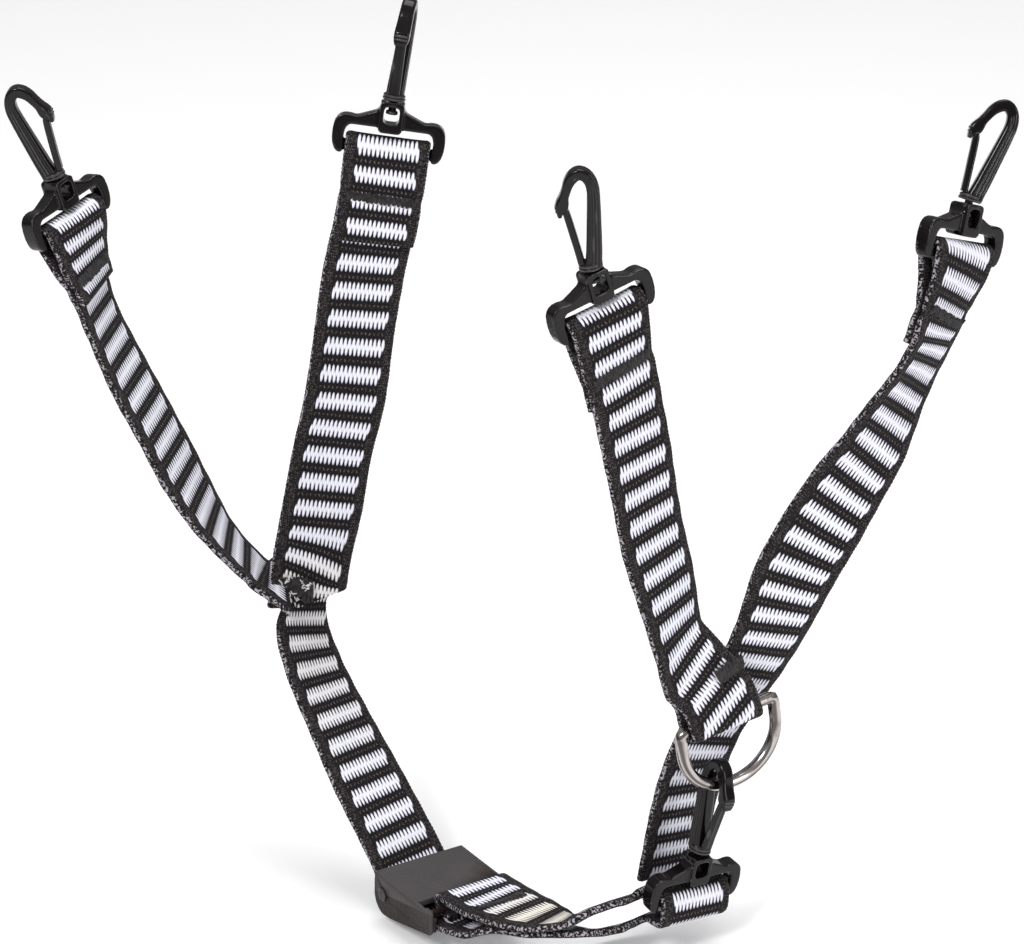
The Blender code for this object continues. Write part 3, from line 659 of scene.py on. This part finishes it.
def webbing_section(width, waist):
    """Outline of the webbing with rounded, slightly thicker selvedges: (across, out)."""
    half, r = width / 2, WEB_THICK / 2
    nose = r * 1.1                           # length of the rounded selvedge
    flat = [-half + nose + (width - 2.2 * r) * k / 14 for k in range(15)]
    pts = []
    for side, run in ((-1, flat), (1, flat[::-1])):
        for x in run:
            bead = 1.0 + 0.10 * math.exp(-((abs(x) - half + 1.2) / 0.8) ** 2)
            pts.append((x, side * r * waist * bead))
        for k in range(1, 6):
            a = side * math.pi / 2 + math.pi * k / 6
            pts.append((side * (nose - half) + nose * math.cos(a), r * waist * 1.05 * math.sin(a)))
    return pts


def webbing(name, path, mat, seams, warm, seed):
    """A woven strap swept along its path; seams are run lengths where stitching pulls it thin."""
    stations = even(path)
    centres = [c for c, _, _ in stations]
    total = stations[-1][2]
    skew = SKEWS.get(name, 0.0)
    knot, reach, lost = GATHERS.get(name, (0.0, 1.0, 0.0))
    before = HEM - HEMS.get(name, HEM)       # a short hem starts later in the pattern
    leans = LEANS.get(name, STRAIGHT)
    bm = bmesh.new()
    weave = bm.loops.layers.uv.new("weave")
    tint = bm.verts.layers.float.new("warm")
    rows, marks = [], {}
    for i, (c, w, s) in enumerate(stations):
        along = heading(centres, i)
        n = along.cross(w).normalized()
        drag = skew * min(max((s - total + SKEW_LENGTH) / SKEW_LENGTH, 0.0), 1.0) ** 1.5
        pinch = min(sum(math.exp(-((s + before - q) / SEAM) ** 2) for q in seams), 1.0)
        fray = 0.12 * math.sin(5.1 * s + seed) if min(s, total - s) < 0.6 else 0.0
        width = WEB_WIDTH - 0.5 * pinch + 0.16 * math.sin(2 * math.pi * s / 0.98)
        width += 0.18 * math.sin(s * 0.21 + seed) + fray
        width *= 1.0 - lost * math.exp(-((s - knot) / reach) ** 2)
        cup = 0.14 * math.sin(s * 0.13 + seed * 1.7)
        stripe = interpolate(STRIPES[name], s + before)
        lean = interpolate(leans, s + before)
        row = []
        for x, y in webbing_section(width, 1.0 - 0.28 * pinch):
            bow = cup * ((2 * x / WEB_WIDTH) ** 2 - 0.4)
            ripple = 0.07 * math.sin(s * 0.9 + seed) * abs(2 * x / WEB_WIDTH) ** 3
            pulled = along * (max(x, SKEW_FROM) * drag)
            vert = bm.verts.new(to_world(c + w * x + n * (y + bow + ripple) + pulled))
            vert[tint] = min(max(interpolate(warm, s), 0.0), 1.0)
            marks[vert] = (x, stripe + lean * x / PITCH)
            row.append(vert)
        rows.append(row)
    skin(bm, rows)
    for face in bm.faces:
        for loop in face.loops:
            loop[weave].uv = marks[loop.vert]
    return new_object(name + "_weave", closed(bm, name), mat, 50)


def plate_mesh(outline, thick):
    """Closed mesh of a flat outline, centred on its own plane."""
    cu = bpy.data.curves.new("plate", "CURVE")
    cu.dimensions = "2D"
    cu.fill_mode = "BOTH"
    cu.extrude = thick / 2 * MM
    sp = cu.splines.new("POLY")
    sp.points.add(len(outline) - 1)
    for q, (x, y) in zip(sp.points, outline):
        q.co = (x * MM, y * MM, 0, 1)
    sp.use_cyclic_u = True
    bm = bmesh.new()
    bm.from_mesh(applied(linked("plate", cu)))
    bmesh.ops.remove_doubles(bm, verts=bm.verts, dist=1e-6)
    return closed(bm, "plate")


def round_outline(points, radius, steps=5):
    """The outline with each corner turned into an arc that fits."""
    out = []
    n = len(points)
    for i in range(n):
        p = Vector(points[i])
        a, b = Vector(points[i - 1]) - p, Vector(points[(i + 1) % n]) - p
        r = min(radius, a.length * 0.48, b.length * 0.48)
        start, end = p + a.normalized() * r, p + b.normalized() * r
        for k in range(steps + 1):
            u = k / steps
            q = start * (1 - u) ** 2 + p * (2 * u * (1 - u)) + end * u**2
            out.append((q.x, q.y))
    return out


def angles(count):
    return [2 * math.pi * k / count for k in range(count)]


def lathe_mesh(profile, axis, centre, segs=32):
    """Closed turned shape: profile is (radius, height) up the axis."""
    bm = bmesh.new()
    rot = Vector((0, 0, 1)).rotation_difference(Vector(axis)).to_matrix()
    rings = []
    for r, h in profile:
        ring = [Vector((r * math.cos(a), r * math.sin(a), h)) for a in angles(segs)]
        rings.append([bm.verts.new((rot @ p + Vector(centre)) * MM) for p in ring])
    skin(bm, rings)
    return closed(bm, "turned")


def rod(radius, half, axis, centre, segs=20):
    return lathe_mesh([(radius, -half), (radius, half)], axis, centre, segs)


def mirrored(half):
    return half + [(-x, y) for x, y in reversed(half)]


def box_mesh(size, centre):
    bm = bmesh.new()
    m = Matrix.Translation(Vector(centre) * MM) @ Matrix.Diagonal((*[s * MM for s in size], 1))
    bmesh.ops.create_cube(bm, size=1.0, matrix=m)
    return plain(bm, "block")


def sweep_mesh(stations, section):
    """Closed skin along (point, half width, half depth) stations in the local XY plane."""
    bm = bmesh.new()
    normal = Vector((0, 0, 1))
    centres = [p for p, _, _ in stations]
    rows = []
    for i, (p, wide, deep) in enumerate(stations):
        side = heading(centres, i).cross(normal).normalized()
        rows.append([bm.verts.new((p + side * (x * wide) + normal * (z * deep)) * MM)
                     for x, z in section(i / (len(stations) - 1))])
    skin(bm, rows)
    return closed(bm, "swept")


def curve_stations(points, count):
    """A smooth run of (point, half width, half depth) through the listed stations."""
    keys = [Vector(p) for p in points]       # x, y, half width, half depth
    out, n = [], len(keys)
    for k in range(count + 1):
        t = (n - 1) * k / count
        i = min(int(t), n - 2)
        u = t - i
        p0, p1, p2, p3 = keys[max(i - 1, 0)], keys[i], keys[i + 1], keys[min(i + 2, n - 1)]
        q = (p1 * 2 + (p2 - p0) * u + (p0 * 2 - p1 * 5 + p2 * 4 - p3) * u**2
             + (p1 * 3 - p0 - p2 * 3 + p3) * u**3) * 0.5
        out.append((Vector((q[0], q[1], 0.0)), q[2], q[3]))
    return out


def joined(meshes):
    """One mesh with all the shells of several."""
    bm = bmesh.new()
    for me in meshes:
        bm.from_mesh(me)
    return plain(bm, "joined")


def carve(base, steps, voxel=0.0, smooth=0, bevel=0.0):
    """Booleans, then either a fine voxel skin relaxed into fillets or a rounded bevel."""
    ob = linked("carve", base)
    tools = []
    for kind, me in steps:
        cut = linked("cut", me)
        mod = ob.modifiers.new(kind, "BOOLEAN")
        mod.operation, mod.solver, mod.object = kind, "EXACT", cut
        tools.append(cut)
    if voxel:
        mod = ob.modifiers.new("skin", "REMESH")
        mod.mode, mod.voxel_size = "VOXEL", voxel * MM
        mod = ob.modifiers.new("relax", "SMOOTH")
        mod.factor, mod.iterations = 0.5, smooth
    if bevel:
        mod = ob.modifiers.new("edge", "BEVEL")
        mod.width, mod.segments, mod.limit_method = bevel * MM, 3, "ANGLE"
        mod.angle_limit = math.radians(35)
        mod.use_clamp_overlap = True
    bpy.context.view_layer.update()
    me = applied(ob)
    for cut in tools:
        bpy.data.objects.remove(cut)
    return me


def basis(origin, x, y, z):
    m = Matrix((x, y, z)).transposed().to_4x4()
    m.translation = to_world(origin)
    return m


def placed(name, mesh, matrix, mat, smooth):
    """A copy of the mesh as an object, turned and moved by the matrix."""
    me = mesh.copy()
    me.transform(matrix)
    if matrix.determinant() < 0:
        me.flip_normals()
    return new_object(name, me, mat, smooth)


# ---------------------------------------------------------------- hook parts

def frame_mesh():
    """Hub with its window, shoulders, rounded lobes and the bar that the webbing goes round."""
    outline = mirrored([(2.6, 11.0), (2.9, 8.8), (7.8, 6.8), (9.4, 7.2), (11.2, 6.9), (12.4, 5.6),
                        (12.7, 3.4), (12.6, 0.9), (12.0, -0.9), (11.0, -1.8), (10.0, -1.7),
                        (9.9, -0.4), (10.1, 3.0), (9.3, 4.9)])
    base = plate_mesh(round_outline(outline, 1.4, 4), 3.5)
    barrel = lathe_mesh([(2.0, -5.4), (2.7, -5.0), (2.75, -3.0), (2.55, -1.2), (2.75, -0.5),
                         (2.75, 0.0), (2.3, 0.0)], (0, 1, 0), (0, HUB_TOP, 0), 28)
    cheeks = plate_mesh(round_outline(mirrored([(2.7, 3.9), (2.75, 11.0)]), 1.2), 5.2)
    bar = rod(BAR_RADIUS, 10.6, (1, 0, 0), (0, 0, 0))
    window = plate_mesh(round_outline(mirrored([(1.75, 6.0), (1.75, 9.9)]), 1.1), 9.0)
    hole = rod(1.2, 3.0, (0, 1, 0), (0, 10.6, 0))
    return carve(base, [("UNION", barrel), ("UNION", cheeks), ("UNION", bar),
                        ("DIFFERENCE", window), ("DIFFERENCE", hole)], voxel=0.2, smooth=9)


def hook_section(t):
    """Rounded rectangle, fluted outside and on its flanks; the flutes fade towards the crook."""
    fade = min(1.0, max(0.0, (0.47 - t) / 0.1))
    pts = []
    for a in angles(96):
        c, s = math.cos(a), math.sin(a)
        r = (abs(c) ** 4.5 + abs(s) ** 4.5) ** (-1 / 4.5)
        x, z = c * r, s * r
        if x > 0.3 and abs(z) < 0.82:
            x -= 0.085 * fade * (1 + math.cos(2 * math.pi * (z - 0.2) / 0.4))
        elif abs(z) > 0.5 and -0.42 < x < 0.78:
            z *= 1.0 - 0.06 * fade * (1 + math.cos(2 * math.pi * (x + 0.22) / 0.4))
        pts.append((x, z))
    return pts


def hook_mesh():
    """Spine, crook and nose in one, on a collar and a pin that turns in the frame's hub."""
    spine = [(0.75, 1.0, 1.85, 2.0), (1.0, 2.4, 1.75, 2.0), (1.4, 4.4, 1.72, 1.95),
             (1.85, 7.0, 1.66, 1.9), (2.35, 10.0, 1.58, 1.85), (2.85, 13.0, 1.5, 1.8),
             (3.25, 15.6, 1.42, 1.75), (3.5, 17.8, 1.36, 1.7), (3.25, 19.8, 1.3, 1.65),
             (2.45, 21.2, 1.28, 1.6), (1.2, 21.85, 1.3, 1.6), (-0.1, 21.35, 1.28, 1.6),
             (-1.2, 20.2, 1.15, 1.6), (-2.0, 18.7, 1.02, 1.65), (-2.7, 17.3, 1.05, 1.7),
             (-3.2, 16.1, 1.35, 1.75), (-3.6, 15.2, 1.4, 1.75), (-4.0, 14.4, 0.95, 1.7),
             (-4.25, 13.6, 0.62, 1.5), (-4.3, 13.0, 0.4, 1.2)]
    body = sweep_mesh(curve_stations(spine, 84), hook_section)
    collar = lathe_mesh([(1.0, 0.3), (2.45, 0.3), (2.6, 0.42), (2.6, 0.78), (2.42, 0.88),
                         (2.4, 1.0), (2.5, 1.1), (2.5, 1.42), (2.3, 1.6), (1.7, 2.0), (1.2, 2.2)],
                        (0, 1, 0), (0, 0, 0))
    pin = lathe_mesh([(0.5, -3.05), (1.2, -3.0), (1.35, -2.85), (1.35, -2.35), (1.15, -2.2),
                      (0.9, -2.1), (0.9, 0.6)], (0, 1, 0), (0, 0, 0), 24)
    ribs = []
    for x, y in ((-4.74, 14.5), (-4.78, 15.25), (-4.42, 16.0)):
        ribs.append(lathe_mesh([(0.12, -1.5), (0.28, -1.3), (0.32, 0.0), (0.28, 1.3), (0.12, 1.5)],
                               (0, 0, 1), (x, y, 0), 12))
    return joined([body, collar, pin] + ribs)


def gate_mesh():
    """Springy leaf, thick at its root and thin at the tip inside the nose."""
    keys = [(-1.75, 1.9, 0.8, 1.35), (-1.8, 2.6, 0.8, 1.35), (-2.0, 5.0, 0.8, 1.3),
            (-2.3, 8.0, 0.82, 1.25), (-2.6, 11.0, 0.82, 1.2), (-2.85, 13.2, 0.78, 1.2),
            (-2.95, 14.2, 0.6, 1.15), (-2.98, 14.7, 0.35, 0.9)]
    keys = [(x - GATE_ROOT[0], y - GATE_ROOT[1], w, d) for x, y, w, d in keys]

    def section(_):
        pts = []
        for a in angles(28):
            c, s = math.cos(a), math.sin(a)
            x = math.copysign(abs(c) ** 0.6, c)
            z = math.copysign(abs(s) ** 0.6, s)
            groove = 0.22 * math.exp(-(z / 0.35) ** 2) if abs(x) > 0.4 else 0.0
            pts.append((x * (1 - groove), z))
        return pts
    return sweep_mesh(curve_stations(keys, 30), section)


# ---------------------------------------------------------------- buckle parts

def buckle_point(x, y, z):
    return BUCKLE_TOP + BUCKLE_ALONG * x + BUCKLE_ACROSS * y + Vector((0, 0, z))


def buckle_matrix(x, y, z):
    """Local x along the buckle, y up, z across it."""
    across = square(BUCKLE_ACROSS, BUCKLE_ALONG)
    up = across.cross(BUCKLE_ALONG)
    if up.z < 0:
        up = -up
    return basis(buckle_point(x, y, z), BUCKLE_ALONG, up, BUCKLE_ALONG.cross(up))


def side_outline(top, inset):
    """Side profile of the buckle, thick and round at the pin and thin at the other end."""
    end = BUCKLE_LENGTH - inset
    radius = 4.6 - inset
    pts = [(inset, top), (end, top), (end, -5.3 + inset), (7.0, -9.2 + inset)]
    for k in range(12):
        a = math.radians(-100 - 7.3 * k)
        pts.append((4.6 + radius * math.cos(a), -5.0 + radius * math.sin(a)))
    return pts


def buckle(grey, black):
    mid = BUCKLE_WIDTH / 2
    m = buckle_matrix(0.0, mid, 0.0)
    under = BUCKLE_WIDTH - 2 * COVER_SIDE
    body_width = under - 2 * GAP
    inner = body_width - 2 * EAR
    ears = side_outline(-COVER_TOP - GAP, 0.2)
    ears[:1] = [(0.2, -3.5), (2.9, -COVER_TOP - GAP)]
    channel = [(-2, 2), (26, 2), (26, -4.15), (14.8, -6.55), (3.0, -8.5), (-2, -9.9)]
    outlet = [(14.8, -3.0), (26, -3.0), (26, -12.0), (14.8, -12.0)]
    bar = rod(END_BAR_R, inner / 2 + 0.5, (0, 0, 1), (END_BAR_X, END_BAR_Z, 0))
    posts = box_mesh((2.2, 2.4, body_width), (END_BAR_X, END_BAR_Z - 0.2, 0))
    bore = rod(PIN_R + GAP, mid + 2, (0, 0, 1), (PIN_X, PIN_Z, 0), 28)
    body = carve(plate_mesh(ears, body_width),
                 [("UNION", posts), ("DIFFERENCE", plate_mesh(channel, inner)),
                  ("DIFFERENCE", plate_mesh(outlet, inner)), ("UNION", bar), ("DIFFERENCE", bore)],
                 bevel=0.18)
    settle(placed("buckle_body_moulding", body, m, grey, 40), "buckle_body", "left_webbing")

    lever_m = buckle_matrix(PIN_X, mid, PIN_Z)
    outline = [(x - PIN_X, y - PIN_Z) for x, y in side_outline(0.0, 0.0)]
    floor = -PIN_Z - COVER_TOP
    inside = box_mesh((60, 20, under), (0, floor - 10, 0))
    mouth = box_mesh((20, 30, under), (COVER_END - PIN_X + 10, 0, 0))
    radius = 2.0
    cam = [(3.4, floor + 0.5), (2.4, floor - 0.4)]
    for k in range(17):
        a = math.radians(40 - 14 * k)
        cam.append((radius * math.cos(a), radius * math.sin(a)))
    cam += [(-2.2, floor - 0.4), (-2.6, floor + 0.5)]
    hole = rod(PIN_R + GAP, mid + 2, (0, 0, 1), (0, 0, 0), 28)
    cover = carve(plate_mesh(outline, BUCKLE_WIDTH),
                  [("DIFFERENCE", inside), ("DIFFERENCE", mouth),
                   ("UNION", plate_mesh(cam, inner - 2 * GAP)), ("DIFFERENCE", hole)], bevel=0.32)
    settle(placed("buckle_cover_moulding", cover, lever_m, grey, 40), "cam_lever", "cam")

    h = mid + GAP
    end = [(PIN_R, h), (1.58, h), (1.58, h + 0.15), (1.35, h + 0.34), (0.6, h + 0.38)]
    pin = lathe_mesh([(r, -y) for r, y in reversed(end)] + end, (0, 0, 1), (0, 0, 0), 32)
    settle(placed("pivot_pin_turned", pin, lever_m, black, 35), "pivot_pin", "left_webbing")


# ---------------------------------------------------------------- D-ring and stitching

def d_ring(mat):
    """Wire bent to a D, its straight side up in the webbing's fold."""
    half, bow = RING_HALF, RING_DEPTH - RING_STRAIGHT
    keys = [(-half + 1.2, 0.0), (0.0, 0.0), (half - 1.2, 0.0), (half - 0.3, 0.35), (half, 1.2)]
    for k in range(49):
        a = math.pi * k / 48
        keys.append((half * math.cos(a), RING_STRAIGHT + bow * math.sin(a)))
    keys += [(-half, 1.2), (-half + 0.3, 0.35)]
    down = square(RING_DOWN, RING_ACROSS)
    m = basis(RING_BAR + RING_ACROSS * RING_SHIFT, RING_ACROSS, down, RING_ACROSS.cross(down))
    bm = bmesh.new()
    rows = []
    for i, (x, y) in enumerate(keys):
        t = (Vector(keys[(i + 1) % len(keys)]) - Vector(keys[i - 1])).normalized()
        side = Vector((t.y, -t.x, 0))
        c = Vector((x, y, 0))
        rows.append([bm.verts.new(m @ ((c + side * (WIRE * math.cos(a))
                                        + Vector((0, 0, WIRE * math.sin(a)))) * MM))
                     for a in angles(24)])
    skin(bm, rows, ring=True)
    settle(new_object("d_ring_wire", closed(bm, "ring"), mat, 0), "d_ring", "ring")


def tube(name, points, radius, mat):
    """Thread as a round mesh tube through the points."""
    cu = bpy.data.curves.new(name, "CURVE")
    cu.dimensions = "3D"
    cu.bevel_depth = radius * MM
    cu.bevel_resolution = 2
    cu.use_fill_caps = True
    sp = cu.splines.new("NURBS")
    sp.points.add(len(points) - 1)
    for q, p in zip(sp.points, points):
        q.co = (*to_world(p), 1)
    sp.order_u = 3
    sp.use_endpoint_u = True
    return new_object(name, applied(linked(name, cu)), mat, 0)


def bartack(label, centre, across, along, out, mat, body, length, height=2.0, passes=3):
    """Dense zigzag of thread lying on the webbing, as a sewing machine leaves it."""
    pitch, radius = 0.52, 0.23
    x = across.normalized()
    y = square(along, x)
    pts = []
    for p in range(passes):
        for k in range(int(length / pitch) + 1):
            t = -length / 2 + pitch * k + 0.17 * p
            if p % 2:
                t = -t
            side = 1 if k % 2 else -1
            jitter = 0.16 * math.sin(7.3 * k + 2.1 * p)
            drift = 0.45 * math.sin(0.35 * t + 1.3 * p)
            lift = 0.10 * p + 0.05 * math.sin(3.1 * k)
            pts.append(centre + x * t + y * (side * height / 2 + jitter + drift) + out * lift)
    ob = tube("stitch_" + label + "_thread", pts, radius, mat)
    settle(ob, "stitch_" + label, body)


def snarl(label, centre, across, along, out, mat, body):
    """Loose ends of pale yarn pulled up where a strap's end is sewn down."""
    x = across.normalized()
    y = square(along, x)
    clusters = ((-1.2, -1.6, 1.5), (-3.4, 2.2, 1.3), (2.0, 1.6, 1.0))    # across, along, size
    strands = []
    for k in range(42):
        u0, v0, size = clusters[k % 3]
        u = u0 + size * math.sin(12.9 * k + 0.4)
        v = v0 + 0.8 * size * math.sin(7.7 * k + 1.1)
        turn = 2.4 * k
        end = (0.7 + 0.3 * math.sin(5.1 * k)) * Vector((math.cos(turn), math.sin(turn), 0.0))
        base = centre + x * u + y * v
        strand = [base, base + x * end.x * 0.5 + y * end.y * 0.5 + out * 0.3,
                  base + x * end.x + y * end.y]
        strands.append(tube("strand", strand, 0.12, mat))
    me = joined([ob.data for ob in strands])
    for ob in strands:
        bpy.data.objects.remove(ob)
    piece = new_object("stitch_" + label + "_loose_yarn", me, mat, 0)
    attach(piece, body)


def at_run(points, s):
    """Centre, width, run direction and outward normal of a route at a run length."""
    mid = smooth_route(points)
    nor = face_normals(mid)
    best = min(range(len(mid)), key=lambda i: abs(mid[i][2] - s))
    c, w, _ = mid[best]
    return c, w, nor[best].cross(w), nor[best]


# ---------------------------------------------------------------- the object

weave = webbing_material()
acetal = acetal_material("glossy_black_acetal", (0.0062, 0.0044, 0.0048))
grey = satin_material("satin_buckle_plastic", (0.0060, 0.0036, 0.0028), (0.034, 0.0235, 0.0200))
chrome = chrome_material()
black_thread = thread_material("black_thread", (0.006, 0.005, 0.005), (0.030, 0.025, 0.026))
cream_thread = thread_material("cream_thread", (0.52, 0.50, 0.52), (0.90, 0.88, 0.86))

# label, route, side of the hem, seams, seed
for label, route, hem_side, seams, seed in (("left_front", LEFT_FRONT, +1, (9.0, 42.0), 0.4),
                                            ("left_rear", LEFT_REAR, +1, (11.0, 40.0), 1.3),
                                            ("chin", CHIN, 0, (), 2.2),
                                            ("right_front", RIGHT_FRONT, -1, (9.0, 42.0), 3.1),
                                            ("right_rear", RIGHT_REAR, -1, (9.0, 42.0), 4.0)):
    name = label + "_strap"
    body = "right_webbing" if label.startswith("right") else "left_webbing"
    path = (arm_path(route, hem_side, HEMS[name], ring_end=label == "right_front") if hem_side
            else loop_path())
    settle(webbing(name, path, weave, seams, WARMTH.get(name, PLAIN), seed), name, body)

frame_shape, hook_shape, gate_shape = frame_mesh(), hook_mesh(), gate_mesh()
# Each frame's bar, width and axis, its hook's lean, the side of the hook's spine and its rise.
sites = []
for label, route, spine, lean in (("left_front", LEFT_FRONT, (-1, 0, 0), -0.06),
                                  ("left_rear", LEFT_REAR, (0.15, 1, 0), 0.03),
                                  ("right_front", RIGHT_FRONT, (1, 0, 0), 0.07),
                                  ("right_rear", RIGHT_REAR, (1, 0, 0), 0.12)):
    mid = smooth_route(route, 4.0)
    bar, width = mid[0][:2]
    axis = square(mid[0][0] - mid[1][0], width)
    sites.append((label, bar, width, axis, (axis + Vector((lean, 0, 0))).normalized(), spine, 0.0))
sites.append(("loop", LOOP_BAR, LOOP_WIDTH, square(LOOP_AXIS, LOOP_WIDTH), LOOP_HOOK.normalized(),
              LOOP_SPINE, 0.45))
for label, bar, width, axis, lean, spine, raised in sites:
    lift = HOOK_SEAT + 2.0 * lean.angle(axis) + raised      # a leaning hook needs room
    hub = bar + axis * (HUB_TOP - HOOK_SEAT) + lean * lift
    side = square(Vector(spine), lean)
    root = hub + side * GATE_ROOT[0] + lean * GATE_ROOT[1]
    for kind, form, shape, origin, x, y, smooth in (
            ("frame_", "_moulding", frame_shape, bar, width, axis, 0),
            ("hook_", "_moulding", hook_shape, hub, side, lean, 55),
            ("gate_", "_leaf", gate_shape, root, side, lean, 55)):
        piece = placed(kind + label + form, shape, basis(origin, x, y, x.cross(y)), acetal, smooth)
        settle(piece, kind + label, kind + label)

buckle(grey, acetal)
d_ring(chrome)

for label, route, run, height, askew in (("left_front", LEFT_FRONT, 12.5, 3.2, 0.0),
                                         ("left_rear", LEFT_REAR, 11.0, 2.6, 0.0),
                                         ("right_front", RIGHT_FRONT, 12.4, 3.2, 0.0),
                                         ("right_rear", RIGHT_REAR, 13.4, 2.2, -0.3)):
    c, w, t, n = at_run(route, run)
    c = c + n * (spread(run, TURN) + 0.66)
    body = label.split("_")[0] + "_webbing"
    bartack(label, c, w + t * askew, t, n, black_thread, body, 15.5, height, 5)
c, w, t, n = at_run(LEFT_REAR, 112.0)
patch = c + n * 0.15 - w * 4.6 + t * 1.4
bartack("left_junction", patch, w, t, n, black_thread, "left_webbing", 8.5, 7.6, 9)
patch = c + n * 1.15 - w * 3.4 + t * 0.6
snarl("left_junction", patch, w, t, n, cream_thread, "left_webbing")
c, w, t, n = at_run(RIGHT_FRONT, 92.0)
patch = c + n * (spread(7.0, RING_TURN) + 0.8) + w * 6.4
bartack("right_junction", patch, w, t, n, black_thread, "right_webbing", 7.0, 5.4, 6)
patch = buckle_point(31.0, BUCKLE_WIDTH / 2 + SEWN_ASIDE, SEWN_Z + END_TURN + 2.0)
up = Vector((0, 0, 1))
bartack("adjuster", patch, BUCKLE_ACROSS, BUCKLE_ALONG, up, black_thread, "left_webbing", 12.0)


# ---------------------------------------------------------------- floor, light and camera

FLOOR_SIZE, FLOOR_GAP = 6.0, 0.002       # metres
place = Matrix.Translation((0, 0, Vector(cad_box[0]).z - FLOOR_GAP))
bm = bmesh.new()
bmesh.ops.create_grid(bm, x_segments=2, y_segments=2, size=FLOOR_SIZE, matrix=place)
g = Graph("pale_floor")
g.set(Base_Color=(0.93, 0.93, 0.93), Roughness=0.9, Specular_IOR_Level=0.1,
      Emission_Color=(1.0, 1.0, 1.0), Emission_Strength=0.14)
new_object("floor", plain(bm, "floor"), g.mat)

world = bpy.data.worlds.new("studio")
bpy.context.scene.world = world
world.use_nodes = True
sky = world.node_tree
ray = sky.nodes.new("ShaderNodeTexCoord")
height = sky.nodes.new("ShaderNodeSeparateXYZ")
ramp = sky.nodes.new("ShaderNodeValToRGB")
sky.links.new(ray.outputs["Generated"], height.inputs[0])
sky.links.new(height.outputs["Z"], ramp.inputs[0])
sky.links.new(ramp.outputs[0], sky.nodes["Background"].inputs["Color"])
for stop, rise, colour in zip(ramp.color_ramp.elements, (0.0, 0.75),
                              ((0.30, 0.30, 0.31, 1), (1.0, 1.0, 1.0, 1))):
    stop.position, stop.color = rise, colour
sky.nodes["Background"].inputs["Strength"].default_value = 0.46
bpy.context.scene.view_settings.view_transform = "Standard"


def area_light(name, offset, size, power, aim):
    data = bpy.data.lights.new(name, "AREA")
    data.shape = "RECTANGLE"
    data.size, data.size_y = size
    data.energy = power
    ob = linked(name, data)
    ob.location = aim + Vector(offset)
    ob.rotation_euler = (aim - ob.location).to_track_quat("-Z", "Y").to_euler()


target = to_world((0.0, 0.0, 112.0))
area_light("key", (-0.45, -0.75, 0.8), (0.30, 0.30), 8.0, target)
area_light("fill", (0.9, -0.6, 0.3), (0.3, 0.6), 4.0, target)
area_light("top", (0.1, 0.25, 1.1), (0.7, 0.7), 7.0, target)

ELEVATION = math.radians(24)
DISTANCE = 0.8                           # metres
camera = bpy.data.cameras.new("camera")
camera.lens = 130.2
camera.sensor_width = 36.0
eye = linked("camera", camera)
eye.location = target + Vector((0, -math.cos(ELEVATION), math.sin(ELEVATION))) * DISTANCE
eye.rotation_euler = (math.radians(90) - ELEVATION, 0.0, 0.0)
bpy.context.scene.camera = eye
